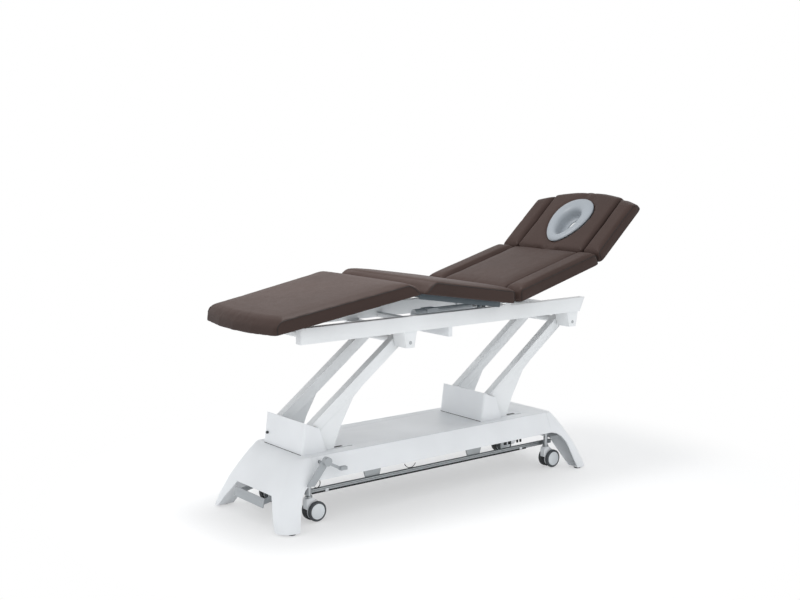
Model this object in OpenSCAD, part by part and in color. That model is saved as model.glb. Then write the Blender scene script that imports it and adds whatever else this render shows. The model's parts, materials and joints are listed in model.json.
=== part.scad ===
// Height-adjustable treatment table with a four-section padded top.
// X runs along the table with the head end at +X, Y across it, Z up from the floor.

/* [Padded top] */
// Width of the padded top at the seams
couch_w = 656; // [560:1:760]
// Height of a cushion's side from its underside to the seam
pad_side_h = 55; // [40:1:80]
// Rise of a cushion's crown above the seam
pad_crown = 13; // [6:1:20]
// Length of the leg section
leg_len = 718; // [600:1:800]
// How far each side of the leg section draws in towards its foot end
leg_taper = 56; // [0:1:80]
// Length of the seat section
seat_len = 514; // [420:1:600]
// Length of the back section
back_len = 520; // [440:1:640]
// Length of the head section, with its bulge
head_len = 418; // [400:1:460]
// Gap between the seat and the back cushions
pad_gap = 14; // [12:0.5:24]
// Rise of the head cushion's crown above the seam
head_crown = 5; // [2:0.5:14]
// Width of the sewn-off side bolsters of the back and the head
bolster_w = 108; // [80:1:130]
// Gap between a side bolster and the centre cushion
bolster_gap = 3; // [2:0.5:8]
// Bulge of the head cushion's top edge in plan
head_bulge = 64; // [20:1:90]
// Bulge of the leg cushion's foot edge in plan
foot_bulge = 34; // [10:1:60]
// Depth by which a cushion's side draws in at its underside
pad_draw = 7; // [2:0.5:14]

/* [Posture] */
// Rise of the seat section towards the leg section, in degrees
seat_rise = 9; // [0:0.5:12.5]
// Rise of the back section, in degrees
back_rise = 15.5; // [0:0.5:60]
// Rise of the head section above the line of the back, in degrees
head_tilt = 26.5; // [-40:0.5:31]
// Angle of the lifting arms above the horizontal, in degrees
arm_angle = 37; // [0:0.5:54]

/* [Face opening] */
// Length of the face insert along the table
face_len = 280; // [250:1:290]
// Width of the face insert
face_w = 221; // [180:1:236]
// Distance from the head hinge to the middle of the face insert
face_at = 208; // [200:1:216]
// Width of the padded wall of the face insert
face_wall = 60; // [48:1:66]

/* [Upper frame] */
// Height of the top of the side rails above the upper pivots of the arms
rail_rise = 115; // [100:1:150]
// Height of a side rail
rail_h = 65; // [50:1:80]
// Thickness of a side rail
rail_t = 35; // [25:1:45]
// Distance from the padded top's seams to the outer faces of the side rails
top_overhang = 94.5; // [68:0.5:118]
// Length of the side rails
rail_len = 1589; // [1450:1:1700]
// Slant of the rails' head end, from top to bottom
rail_slant = 30; // [0:1:60]
// Wall of the square tubes
tube_wall = 2.5; // [2:0.5:4]

/* [Lifting arms] */
// Length of a lifting arm between its pivots
arm_len = 545; // [480:1:600]
// Height of the tube of a lifting arm
arm_h = 48; // [38:1:60]
// Thickness of the tube of a lifting arm
arm_t = 38; // [28:1:46]
// Distance between the outer faces of the two arms of a pair
arm_span = 264; // [244:1:268]
// Height of the lower arm pivots above the floor
tower_pivot_z = 364; // [340:1:400]
// Distance between the two arm pairs
arm_pitch = 969; // [860:1:1040]
// Distance of the foot-end tower pivot from the middle of the base
tower_pivot_x = 605; // [560:1:640]
// Radius from the tower pivot to the lever's cross shaft
lever_r = 174; // [150:1:180]
// Thickness of a lever plate
lever_t = 8; // [5:0.5:10]

/* [Base] */
// Height of the flat top of the base cover
base_top = 272; // [250:1:300]
// Height of the lower edge of the base cover
base_low = 184; // [160:1:200]
// How far the flat top of the base cover reaches past the arms, on each side
base_top_past = 60; // [52:1:88]
// Spread of each side of the base cover from its flat top to its lower edge
base_flare = 39; // [30:1:60]
// Wall of the base covers
cover_wall = 4; // [3:0.5:6]
// Half of the distance between the inner edges of the two end pieces
end_inner = 660; // [600:1:680]
// Spread of each side of an end piece from the cover's lower edge to the floor
end_flare = 62; // [40:1:90]
// Height of the arch in an end piece
arch_h = 128; // [100:1:140]
// Width of each foot of an end piece at the floor
end_foot_w = 58; // [50:1:84]
// Slant of each side of the arch, from the floor to its top
arch_slant = 101; // [84:1:112]
// Height of the rubber feet
foot_h = 8; // [5:1:20]
// Diameter of the rubber feet
foot_d = 34; // [24:1:44]
// How far a tower cover reaches past the arms, on each side
tower_past = 15; // [15:0.5:22]
// Length of a tower cover along the table
tower_l = 120; // [104:1:140]
// Height of a tower cover above the base cover at its high side
tower_h = 130; // [110:1:150]

/* [Castors] */
// Diameter of a castor wheel
wheel_d = 84; // [70:1:100]
// Width of one of a castor's twin wheels
wheel_t = 17; // [12:1:24]
// Height of the wheels above the floor while the table stands on its feet
wheel_lift = 2; // [1:0.5:8]
// Distance of a castor's stem past the arms, sideways
castor_out = 35; // [33:1:44]
// Trail of a castor, from its stem to its axle
castor_trail = 25; // [15:1:30]
// Distance of the foot-end castors from the end piece's inner edge, towards the middle
castor_foot_in = 4; // [0:1:16]
// Distance of the head-end castors past the end piece's inner edge
castor_head_past = 23; // [0:1:30]
// Diameter of a castor's stem
stem_d = 20; // [14:1:24]

/* [Foot controls] */
// Height of the middle of the foot control bars
foot_bar_z = 116; // [100:1:130]
// Height of a foot control bar
foot_bar_h = 17; // [12:1:24]
// Thickness of a foot control bar
foot_bar_t = 15; // [10:1:20]
// Width of the castor pedal
pedal_w = 226; // [180:1:240]
// Height of the castor pedal's plate
pedal_h = 37; // [28:1:44]
// Reach of the castor pedal from its pivot
pedal_reach = 126; // [100:1:140]

/* [Hidden] */
$fn = 48;
WHITE = "#e6eaec";
PALE = "#d8dde0";
GREY = "#a3a8ab";
MID = "#8b8f92";
SLATE = "#46525a";
BLACK = "#2a2c2e";
BROWN = "#5a4a43";
SILVER = "#b9bdbf";
STEEL = "#b4b8ba";
BRONZE = "#b08a52";

// Overrun of every cut past the face that it opens
cut = 2;
// Radial clearance of a pin or shaft in its bore
run_fit = 0.05;
// Clearance between parts that slide past each other
slide_gap = 0.4;

// Widths that follow the padded top and the arms
rail_span = couch_w - 2 * top_overhang;
base_top_w = arm_span + 2 * base_top_past;
base_low_w = base_top_w + 2 * base_flare;
end_low_w = base_low_w + 2 * end_flare;
arch_low_w = end_low_w - 2 * end_foot_w;
arch_top_w = arch_low_w - 2 * arch_slant;
tower_w = arm_span + 2 * tower_past;
castor_y = arm_span / 2 + castor_out;

// Pivots of the lifting arms
arm_dx = arm_len * cos(arm_angle);
arm_dz = arm_len * sin(arm_angle);
foot_pivot = [-tower_pivot_x, 0, tower_pivot_z];
head_pivot = [arm_pitch - tower_pivot_x, 0, tower_pivot_z];
frame_pivot_foot = foot_pivot + [arm_dx, 0, arm_dz];
frame_pivot_head = head_pivot + [arm_dx, 0, arm_dz];
rail_top = frame_pivot_foot[2] + rail_rise;

// Places of the padded sections
// Height of the seat and back hinge above the rails
section_hinge_rise = 55;
// Distance of the seat and back hinge past the upper pivot of the foot-end arms
section_hinge_past = 516.7;
section_hinge_at = frame_pivot_foot[0] + section_hinge_past;
// Height of the seams above the seat and back hinge
seam_rise = 18;
// Height of the bars of the section frames
bar_h = 20;
// Width of the bars of the section frames
bar_w = 25;
pad_low = seam_rise - pad_side_h;
// Distances from the leg hinge to the undersides of the seat and the leg cushion
leg_hinge_gap = 10;
leg_end_gap = 4;
// Fall of the leg section for each degree of the seat's rise
leg_fall_share = 1.07;
leg_fall = seat_rise * leg_fall_share;
seat_x0 = -pad_gap / 2 - seat_len;
leg_hinge_local = [seat_x0 - leg_hinge_gap, 0, pad_low - bar_h / 2];
// Distance from a lower hinge to the cushion beside it
lower_hinge_gap = 8;
head_hinge_local = [pad_gap / 2 + back_len + lower_hinge_gap, 0, pad_low - bar_h / 2];

function turned(p, a) = [p[0] * cos(a) + p[2] * sin(a), p[1], -p[0] * sin(a) + p[2] * cos(a)];

head_rise = back_rise + head_tilt;
section_hinge = [section_hinge_at, 0, rail_top + section_hinge_rise];
leg_hinge = section_hinge + turned(leg_hinge_local, seat_rise);
head_hinge = section_hinge + turned(head_hinge_local, -back_rise);

// Levers, shafts and bushes of the lifting gear
// Angle from the line of an arm to its lever, and of the lever as drawn
lever_turn = -107;
lever_angle = lever_turn + arm_angle;
lever_pin = [lever_r * cos(lever_angle), 0, lever_r * sin(lever_angle)];
tower_shaft_d = 20;
frame_shaft_d = 16;
lever_shaft_d = 20;
bush_wall = 3;
bush_flange = 3;
arm_inner = arm_span / 2 - arm_t;

// Reach of the rails' foot end past the upper pivot of the foot-end arms
rail_foot_past = 560.3;
rail_x0 = frame_pivot_foot[0] - rail_foot_past;
rail_x1 = rail_x0 + rail_len;
rail_in = rail_span / 2 - rail_t;

module at_base() {
  translate([base_x, 0, 0]) children();
}

module in_seat() {
  at_base() translate(section_hinge) rotate([0, seat_rise, 0]) children();
}

module in_leg() {
  at_base() translate(leg_hinge) rotate([0, -leg_fall, 0]) children();
}

module in_back() {
  at_base() translate(section_hinge) rotate([0, -back_rise, 0]) children();
}

module in_head() {
  at_base() translate(head_hinge) rotate([0, -head_rise, 0]) children();
}

// A box from one corner to the opposite corner
module block(low, high) {
  translate(low) cube(high - low);
}

// A flat plate with an outline in X and Z, from y0 to y1
module side_plate(outline, y0, y1) {
  translate([0, y1, 0]) rotate([90, 0, 0]) linear_extrude(y1 - y0) polygon(outline);
}

// A round bar or bore along Y, centred at p
module across(p, d, len) {
  translate(p) rotate([90, 0, 0]) cylinder(d = d, h = len, center = true);
}

// A rod along X from p
module along(p, d, len) {
  translate(p) rotate([0, 90, 0]) cylinder(d = d, h = len);
}

module both_sides() {
  children();
  mirror([0, 1, 0]) children();
}

function arc_points(c, r, a0, a1, n) = [
  for (i = [0:n]) c + r * [cos(a0 + (a1 - a0) * i / n), sin(a0 + (a1 - a0) * i / n)]
];

// Padded sections
// Corner radius of a cushion in plan
pad_corner_r = 22;
corner_steps = 3;
end_steps = 4;
// How far up the side, and how much of the drawn-in depth and of the slanted end, each ring takes
side_ring_shares = [[0, 1, 0], [0.28, 0.5, 0.1], [0.7, 0.05, 0.55], [1, 0.12, 1]];
// How far in from the seam, and how far up the crown, each ring takes
crown_ring_shares = [[0.05, 0.3], [0.14, 0.6], [0.32, 0.86], [0.6, 0.97], [0.85, 1]];

// Drop of a bulged end at a distance y from the middle
function end_drop(y, bulge) = bulge * pow(2 * y / couch_w, 2);

// The rounded corner between the end at x and the side at y, with sx and sy pointing outwards
function corner_points(x, y, sx, sy, r, bulge) =
  let (c = [x - sx * (r + end_drop(y - sy * r, bulge)), y - sy * r],
       a_end = sx > 0 ? 0 : 180,
       a_side = sy > 0 ? 90 : (sx > 0 ? -90 : 270))
  [for (i = [0:corner_steps])
    let (a = a_end + (a_side - a_end) * i / corner_steps) c + r * [cos(a), sin(a)]];

function reversed(v) = [for (i = [len(v) - 1:-1:0]) v[i]];

// One closed ring of a cushion, seen from above and going round to the left
function pad_ring(x0, x1, y0, y1, r, bulge0, bulge1) =
  concat(
    [for (i = [1:end_steps - 1])
      let (y = y0 + r + (y1 - y0 - 2 * r) * i / end_steps) [x1 - end_drop(y, bulge1), y]],
    corner_points(x1, y1, 1, 1, r, bulge1),
    reversed(corner_points(x0, y1, -1, 1, r, bulge0)),
    [for (i = [1:end_steps - 1])
      let (y = y1 - r - (y1 - y0 - 2 * r) * i / end_steps) [x0 + end_drop(y, bulge0), y]],
    corner_points(x0, y0, -1, -1, r, bulge0),
    reversed(corner_points(x1, y0, 1, -1, r, bulge1))
  );

// A cushion from x0 to x1 and y0 to y1 on its underside, with slanted ends, drawn in by taper at x0
module pad(x0, x1, y0, y1, slant0, slant1, bulge0, bulge1, r0 = pad_corner_r, crown = pad_crown, taper = 0) {
  half = min(x1 - x0 - bulge0 - bulge1, y1 - y0) / 2;
  side_rings = [
    for (s = side_ring_shares)
      let (d = pad_draw * s[1])
      [for (q = pad_ring(x0 + slant0 * s[2], x1 - slant1 * s[2], y0 + d, y1 - d, r0, bulge0, bulge1))
        [q[0], q[1], pad_side_h * s[0]]]
  ];
  crown_rings = [
    for (s = crown_ring_shares)
      let (d = half * s[0], top = pad_side_h + crown * s[1])
      [for (q = pad_ring(x0 + slant0 + d, x1 - slant1 - d, y0 + d, y1 - d, max(r0 * (1 - s[0]), run_fit),
        bulge0, bulge1)) [q[0], q[1], top]]
  ];
  rings = concat(side_rings, crown_rings);
  n = len(rings[0]);
  top = len(rings) - 1;
  count = n * len(rings);
  middle = [(x0 + x1) / 2, (y0 + y1) / 2];
  faces = concat(
    [for (i = [0:n - 1]) [count, i, (i + 1) % n]],
    [for (k = [0:top - 1]) for (i = [0:n - 1])
      let (j = (i + 1) % n) [k * n + i, (k + 1) * n + i, k * n + j]],
    [for (k = [0:top - 1]) for (i = [0:n - 1])
      let (j = (i + 1) % n) [k * n + j, (k + 1) * n + i, (k + 1) * n + j]],
    [for (i = [0:n - 1]) [count + 1, top * n + (i + 1) % n, top * n + i]]
  );
  points = concat([for (ring = rings) each ring],
    [[middle[0], middle[1], 0], [middle[0] + (slant0 - slant1) / 2, middle[1], pad_side_h + crown]]);
  narrowed = [
    for (p = points)
      [p[0], p[1] * (1 - 2 * taper / couch_w * (x1 - p[0]) / (x1 - x0)), p[2]]
  ];
  polyhedron(points = narrowed, faces = faces);
}

// Hinge ears of the frame, the seat and the back
ear_t = 6;
ear_gap = 0.5;
ear_r = 8;
ear_pin_d = 8;
ear_y = rail_in + ear_t / 2;
// The slots in the cushions that leave room for the ears
notch_w = 4 * ear_t + 4 * ear_gap;
notch_depth = 2 * ear_r;
notch_top = 13;

module ear_notches(x0) {
  both_sides()
    translate([x0, ear_y - notch_w / 2, pad_low - cut])
      cube([notch_depth, notch_w, notch_top - pad_low + cut]);
}

seat_slant_leg = 36;
seat_slant_back = 9;
// Slant of the ends at the head hinge and of the head end
head_slant = 12;

module seat_cushion() {
  color(BROWN) in_seat() difference() {
    translate([0, 0, pad_low])
      pad(seat_x0, -pad_gap / 2, -couch_w / 2, couch_w / 2, seat_slant_leg, seat_slant_back, 0, 0);
    ear_notches(-notch_depth);
  }
}

// Slant of the leg cushion's end at its hinge
leg_slant = 50;

module leg_cushion() {
  color(BROWN) in_leg() translate([0, 0, bar_h / 2])
    pad(-leg_end_gap - leg_len, -leg_end_gap, -couch_w / 2, couch_w / 2, pad_draw, leg_slant, foot_bulge, 0,
      taper = leg_taper);
}

bolster_in = couch_w / 2 - bolster_w;

module back_cushion() {
  color(BROWN) in_back() difference() {
    translate([0, 0, pad_low])
      pad(pad_gap / 2, pad_gap / 2 + back_len, -bolster_in + bolster_gap, bolster_in - bolster_gap,
        seat_slant_back, head_slant, 0, 0);
    ear_notches(0);
  }
}

module back_bolsters() {
  color(BROWN) in_back() both_sides() translate([0, 0, pad_low])
    pad(pad_gap / 2, pad_gap / 2 + back_len, bolster_in, couch_w / 2, seat_slant_back, head_slant, 0, 0);
}

// Outline of the face insert, wider towards the head end
egg_share = 0.2;

function egg(len, w, n = 40) = [
  for (i = [0:n - 1])
    let (a = 360 * i / n) [len / 2 * cos(a), w / 2 * sin(a) * (1 + egg_share * cos(a))]
];

head_pad_h = pad_side_h + head_crown;
// Height of the face insert's lip above the cushion's crown
face_proud = 4;
// How far the lip reaches out over the cushion, on both sides together
face_lip = 10;
face_seat_gap = 0.4;
// How far the bowl lies from the middle of the insert, towards the hinge
face_bowl_back = 10;
face_floor = 9;
// How much smaller than the insert the hole in the bowl's floor is, in shares of the wall
face_hole_share = 2.6;
face_hole_l = face_len - face_hole_share * face_wall;
face_hole_w = face_w - face_hole_share * face_wall;

module head_cushion() {
  color(BROWN) in_head() translate([0, 0, bar_h / 2]) difference() {
    pad(lower_hinge_gap, lower_hinge_gap + head_len, -bolster_in + bolster_gap, bolster_in - bolster_gap,
      head_slant, head_slant, 0, head_bulge, crown = head_crown);
    translate([face_at, 0, -cut]) linear_extrude(head_pad_h + 2 * cut) polygon(egg(face_len, face_w));
  }
}

module head_bolsters() {
  color(BROWN) in_head() both_sides() translate([0, 0, bar_h / 2])
    pad(lower_hinge_gap, lower_hinge_gap + head_len, bolster_in, couch_w / 2, head_slant, head_slant,
      0, head_bulge, crown = head_crown);
}

module face_insert() {
  color(SILVER) in_head() translate([face_at, 0, bar_h / 2]) difference() {
    union() {
      linear_extrude(head_pad_h + face_proud)
        polygon(egg(face_len - 2 * face_seat_gap, face_w - 2 * face_seat_gap));
      translate([0, 0, head_pad_h + face_seat_gap]) linear_extrude(face_proud)
        polygon(egg(face_len + face_lip, face_w + face_lip));
    }
    translate([-face_bowl_back, 0, face_floor]) linear_extrude(head_pad_h + face_proud)
      polygon(egg(face_len - 2 * face_wall, face_w - 2 * face_wall));
    translate([-face_bowl_back, 0, -cut]) linear_extrude(face_floor + 2 * cut)
      polygon(egg(face_hole_l, face_hole_w));
  }
}

// Frames under the cushions
tray_t = 3;
// Distance of a tray's ends from the cushion's ends
tray_in = 34;
flange_h = 25;
tray_y = rail_span / 2 + tray_t * 2;
bar_y = rail_in - bar_w - tray_t * 3;
knuckle_d = 20;
knuckle_t = 12;
knuckle_gap = 1;
pin_d = 10;
// Levers that the motors act on
horn_t = 10;
horn_len = 75;
horn_pin_d = 10;
horn_w = 24;
horn_foot = 60;
motor_y = 60;
// Middle of the back section's travel, where its lever hangs straight down
back_mid = 30;

// A hinge ear at y0 that stands on a tray's foot reaching from x_foot
module tray_ear(x_foot, y0, bore) {
  difference() {
    union() {
      across([0, y0 + ear_t / 2, 0], 2 * ear_r, ear_t);
      block([-ear_r, y0, pad_low - tray_t], [ear_r, y0 + ear_t, 0]);
      block([min(x_foot, -ear_r), y0, pad_low - tray_t], [max(x_foot, ear_r), y0 + ear_t, pad_low]);
    }
    across([0, y0 + ear_t / 2, 0], bore, ear_t + 2 * cut);
  }
}

// A bar along X from y0 with a knuckle round the hinge at p
module knuckle_bar(x0, x1, y0, z0, z1, p, bore) {
  difference() {
    union() {
      block([x0, y0, z0], [x1, y0 + knuckle_t, z1]);
      across([p[0], y0 + knuckle_t / 2, p[2]], knuckle_d, knuckle_t);
    }
    across([p[0], y0 + knuckle_t / 2, p[2]], bore, knuckle_t + 2 * cut);
  }
}

// Reach of the padded top, found on the rings of the outermost cushions
foot_x0 = -leg_end_gap - leg_len;
head_x1 = lower_hinge_gap + head_len;
foot_reach = leg_hinge[0] + min([
  for (s = side_ring_shares)
    turned([foot_x0 + pad_draw * s[2], 0, bar_h / 2 + pad_side_h * s[0]], -leg_fall)[0]
]);
head_reach = head_hinge[0] + max([
  for (s = side_ring_shares)
    turned([head_x1 - head_slant * s[2], 0, bar_h / 2 + pad_side_h * s[0]], -head_rise)[0]
]);
// The origin lies under the middle of the whole table's length
base_x = -(foot_reach + head_reach) / 2;

yoke_t = 10;
yoke_gap = 1;
// Free travel of a lever's pin in its yoke, along the rod
yoke_room = 5;
yoke_wall = 6;
yoke_play = 1.5;
horn_y = motor_y - yoke_t / 2 - yoke_gap - horn_t;

// A lever plate that hangs from (x_top, z_top) to the cross pin at p, on the inner side of the rod at y
module horn(x_top, z_top, p, y) {
  hull() {
    across([x_top, y - yoke_t / 2 - yoke_gap - horn_t / 2, z_top - horn_w / 4], horn_w / 2, horn_t);
    across([p[0], y - yoke_t / 2 - yoke_gap - horn_t / 2, p[2]], horn_w, horn_t);
  }
  across([p[0], y - yoke_gap - horn_t / 4, p[2]], horn_pin_d, yoke_t + horn_t + yoke_gap * 2);
}

// A slotted plate round a cross pin of diameter d, in the plane of the rod
module yoke(p, d, t, rise, fall) {
  x = d / 2 + yoke_room;
  translate(p) difference() {
    block([-x - yoke_wall, -t / 2, -fall - d / 2 - yoke_wall],
      [x + yoke_wall, t / 2, rise + d / 2 + yoke_wall]);
    block([-x, -t / 2 - cut, -fall - d / 2], [x, t / 2 + cut, rise + d / 2]);
  }
}

// A lever's pin that hangs straight down at mid when the section stands at a, both in degrees of rise
function hung(len, a, mid) = [len * sin(a - mid), 0, -len * cos(a - mid)];

// Levers of the sections, each in its own section's directions
seat_mid = 8.5;
seat_pin = turned([0, 0, -horn_len], -seat_mid);
back_pin = turned([0, 0, -horn_len], back_mid);
spring_len = 40;
// Middle and lowest position of the head section's travel, counted from the line of the back
head_mid = -3;
head_low = -40;
spring_pin = turned([0, 0, -spring_len], head_mid);
spring_y = 46;
seat_x1 = -pad_gap / 2 - tray_in / 2;
back_x0 = pad_gap / 2 + tray_in / 2;
back_x1 = pad_gap / 2 + back_len - tray_in;
cross_bar_shares = [0, 0.5, 0.9];
cross_bar_w = 50;

module seat_frame() {
  color(SLATE) in_seat() {
    block([seat_x0 + tray_in, -tray_y, pad_low - tray_t], [seat_x1, tray_y, pad_low]);
    both_sides() {
      block([seat_x0 + tray_in, tray_y - tray_t, pad_low - flange_h], [seat_x1, tray_y, pad_low]);
      tray_ear(seat_x1 - tray_t, ear_y - ear_t * 3 / 2 - ear_gap, ear_pin_d);
      knuckle_bar(leg_hinge_local[0], seat_x1 - tray_in, bar_y, pad_low - bar_h, pad_low, leg_hinge_local,
        pin_d);
    }
    // The lever for the seat motor, on the near side
    mirror([0, 1, 0]) {
      block([-horn_foot, horn_y, pad_low - horn_t], [ear_r, horn_y + horn_t, pad_low]);
      horn(0, pad_low - tray_t, seat_pin, motor_y);
    }
  }
}

leg_frame_share = 0.78;
leg_frame_len = leg_len * leg_frame_share;
leg_bar_shares = [0.12, 0.45, 0.79];
leg_bar_y = bar_y - knuckle_gap - knuckle_t;

module leg_frame() {
  color(WHITE) in_leg() {
    both_sides() knuckle_bar(-leg_frame_len, 0, leg_bar_y, -bar_h / 2, bar_h / 2, [0, 0, 0],
      pin_d + 2 * run_fit);
    for (s = leg_bar_shares)
      translate([-leg_frame_len * s, 0, 0])
        block([-bar_w / 2, -leg_bar_y, -bar_h / 2], [bar_w / 2, leg_bar_y, 0]);
  }
}

bumper_d = 18;
bumper_y = 100;
// Gap under the bumpers while the top lies flat
bumper_gap = 0.5;
cross_h = 20;
cross_top = rail_top - rail_h + cross_h;
bumper_h = rail_top + section_hinge_rise + leg_hinge_local[2] - bar_h / 2 - cross_top - bumper_gap;

module leg_bumpers() {
  color(BLACK) in_leg() both_sides()
    translate([-leg_frame_len * leg_bar_shares[2], bumper_y, -bar_h / 2 - bumper_h])
      cylinder(d1 = bumper_d / 2, d2 = bumper_d, h = bumper_h);
}

module back_frame() {
  color(WHITE) in_back() {
    both_sides() {
      tray_ear(back_x0 + tray_t, ear_y + ear_t / 2 + ear_gap, ear_pin_d + 2 * run_fit);
      block([back_x0, tray_y - bar_w, pad_low - tray_t], [back_x1, tray_y, pad_low]);
      knuckle_bar(back_x0 + tray_in, head_hinge_local[0], bar_y, pad_low - bar_h, pad_low, head_hinge_local,
        pin_d + 2 * run_fit);
    }
    for (s = cross_bar_shares)
      translate([back_x0 + (back_x1 - back_x0) * s, 0, 0])
        block([0, -tray_y, pad_low - tray_t], [cross_bar_w, tray_y, pad_low]);
    // The lever for the back motor, on the far side
    block([-ear_r, horn_y, pad_low - horn_t], [horn_foot, horn_y + horn_t, pad_low]);
    horn(0, pad_low - tray_t, back_pin, motor_y);
  }
}

// The head frame's second plate lies past the hole in the face insert's floor
face_hole_gap = 5;
head_bar_len = face_at + face_hole_l / 2 + face_hole_gap + bar_w;

module head_frame() {
  color(WHITE) in_head() {
    both_sides() knuckle_bar(0, head_bar_len, leg_bar_y, -bar_h / 2, bar_h / 2, [0, 0, 0], pin_d);
    for (x = [bar_w, head_bar_len - bar_w])
      block([x, -tray_y, 0], [x + bar_w, tray_y, bar_h / 2]);
    mirror([0, 1, 0]) horn(bar_w + horn_w / 4, bar_h / 2, spring_pin, spring_y);
  }
}

// The spring lies under the back, in the line of the lever's pin at rest
spring_at = head_hinge_local + hung(spring_len, head_tilt, head_mid);
spring_d = 18;
spring_rod_d = 8;
spring_body_x0 = 300;
spring_body_x1 = 480;
spring_bore_len = 150;

module head_spring() {
  color(MID) in_back() difference() {
    union() {
      along([spring_body_x0, -spring_y, spring_at[2]], spring_d, spring_body_x1 - spring_body_x0);
      block([spring_body_x0 - horn_w / 2, -spring_y - yoke_t / 2, spring_at[2] - horn_w / 4],
        [spring_body_x0 + horn_w / 2, -spring_y + yoke_t / 2, pad_low - tray_t]);
    }
    along([spring_body_x1 - spring_bore_len, -spring_y, spring_at[2]], spring_rod_d + 2 * slide_gap,
      spring_bore_len + cut);
  }
}

module head_spring_rod() {
  yoke_x = horn_pin_d / 2 + yoke_room + yoke_wall / 2;
  color(STEEL) in_back() {
    along([spring_body_x1 - spring_bore_len / 3, -spring_y, spring_at[2]], spring_rod_d,
      spring_at[0] - yoke_x - spring_body_x1 + spring_bore_len / 3);
    yoke([spring_at[0], -spring_y, spring_at[2]], horn_pin_d, yoke_t,
      -spring_len * cos(head_low - head_mid) - (spring_at[2] - head_hinge_local[2]) + yoke_play,
      spring_at[2] - head_hinge_local[2] + spring_len + yoke_play);
  }
}

// Hinge pins
module section_hinge_pins() {
  color(STEEL) in_seat() both_sides() across([0, ear_y, 0], ear_pin_d, notch_w - 2 * ear_gap);
}

knuckle_mid = bar_y - knuckle_gap / 2;

module leg_hinge_pins() {
  color(STEEL) in_leg() both_sides() across([0, knuckle_mid, 0], pin_d, 2 * knuckle_t + 3 * knuckle_gap);
}

module head_hinge_pins() {
  color(STEEL) in_head() both_sides() across([0, knuckle_mid, 0], pin_d, 2 * knuckle_t + 3 * knuckle_gap);
}

// Upper frame
cap_t = 3;
cap_plug = 14;
rail_low = rail_top - rail_h;

// Where a rail with its top corner at x1 ends at height z
function rail_end(x1, z) = x1 - rail_slant * (rail_top - z) / rail_h;

function rail_outline(d, x0, x1) = [
  [x0, rail_low + d], [rail_end(x1, rail_low + d), rail_low + d], [rail_end(x1, rail_top - d), rail_top - d],
  [x0, rail_top - d]
];

module near_rail() {
  color(WHITE) at_base() mirror([0, 1, 0]) rail();
}

module far_rail() {
  color(WHITE) at_base() rail();
}

module rail() {
  difference() {
    side_plate(rail_outline(0, rail_x0 + cap_t, rail_x1 - cap_t), rail_in, rail_in + rail_t);
    side_plate(rail_outline(tube_wall, rail_x0 - cut, rail_x1 + rail_slant), rail_in + tube_wall,
      rail_in + rail_t - tube_wall);
  }
}

module rail_end_caps() {
  color(PALE) at_base() both_sides() {
    difference() {
      side_plate(rail_outline(0, rail_x0, rail_x1), rail_in, rail_in + rail_t);
      side_plate(rail_outline(-cut, rail_x0 + cap_t, rail_x1 - cap_t), rail_in - cut,
        rail_in + rail_t + cut);
    }
    side_plate(rail_outline(tube_wall, rail_x1 - rail_slant - cap_plug, rail_x1 - cap_t / 2),
      rail_in + tube_wall, rail_in + rail_t - tube_wall);
    block([rail_x0 + cap_t / 2, rail_in + tube_wall, rail_low + tube_wall],
      [rail_x0 + cap_plug, rail_in + rail_t - tube_wall, rail_top - tube_wall]);
  }
}

cross_w = 30;
// Cross-members near the rails' ends, and under the motors of the seat and the back
cross_foot_in = 110;
cross_head_in = 24;
seat_cross_back = 367;
back_cross_past = 123;
cross_xs = [rail_x0 + cross_foot_in, section_hinge_at - seat_cross_back, section_hinge_at + back_cross_past,
  rail_x1 - cross_head_in];

module frame_cross_members() {
  color(WHITE) at_base() for (x = cross_xs)
    difference() {
      block([x - cross_w / 2, -rail_in, rail_low], [x + cross_w / 2, rail_in, cross_top]);
      block([x - cross_w / 2 + tube_wall, -rail_in - cut, rail_low + tube_wall],
        [x + cross_w / 2 - tube_wall, rail_in + cut, cross_top - tube_wall]);
    }
}

lug_wall = 5;
lug_top_w = 70;
lug_low_w = 44;
lug_drop = 22;
lug_in = arm_span / 2 + bush_flange + slide_gap;
lug_out = rail_in + rail_t / 2;

function lug_outline(p, d) =
  [[p[0] - lug_low_w / 2 + d, p[2] - lug_drop - (d > 0 ? cut : 0)],
   [p[0] + lug_low_w / 2 - d, p[2] - lug_drop - (d > 0 ? cut : 0)],
   [p[0] + lug_top_w / 2 - d, rail_low - d], [p[0] - lug_top_w / 2 + d, rail_low - d]];

module arm_lugs() {
  color(WHITE) at_base() both_sides() for (p = [frame_pivot_foot, frame_pivot_head])
    difference() {
      side_plate(lug_outline(p, 0), lug_in, lug_out);
      side_plate(lug_outline(p, lug_wall), lug_in + lug_wall, lug_out - lug_wall);
      across([p[0], (lug_in + lug_out) / 2, p[2]], frame_shaft_d, lug_out - lug_in + 2 * cut);
    }
}

module upper_arm_shafts() {
  color(STEEL) at_base() for (p = [frame_pivot_foot, frame_pivot_head])
    across(p, frame_shaft_d, 2 * lug_out);
}

ear_foot_w = 50;
ear_foot_h = 4;

module frame_hinge_ears() {
  color(WHITE) at_base() both_sides() difference() {
    union() {
      hull() {
        across([section_hinge[0], ear_y, section_hinge[2]], 2 * ear_r, ear_t);
        block([section_hinge[0] - 2 * ear_r, rail_in, rail_top],
          [section_hinge[0] + 2 * ear_r, rail_in + ear_t, rail_top + ear_foot_h]);
      }
      block([section_hinge[0] - ear_foot_w / 2, rail_in, rail_top],
        [section_hinge[0] + ear_foot_w / 2, rail_in + rail_t, rail_top + ear_foot_h]);
    }
    across([section_hinge[0], ear_y, section_hinge[2]], ear_pin_d + 2 * run_fit, ear_t + 2 * cut);
  }
}

// Distance of the junction box from the section hinge, and its size under the near rail
box_back = 307;
box_t = 22;
box_h = 46;
box_x0 = section_hinge_at - box_back;

module junction_box() {
  color(PALE) at_base()
    block([box_x0, -rail_in - rail_t / 2, rail_low - box_h], [box_x0 + box_t, 0, rail_low]);
}

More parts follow.
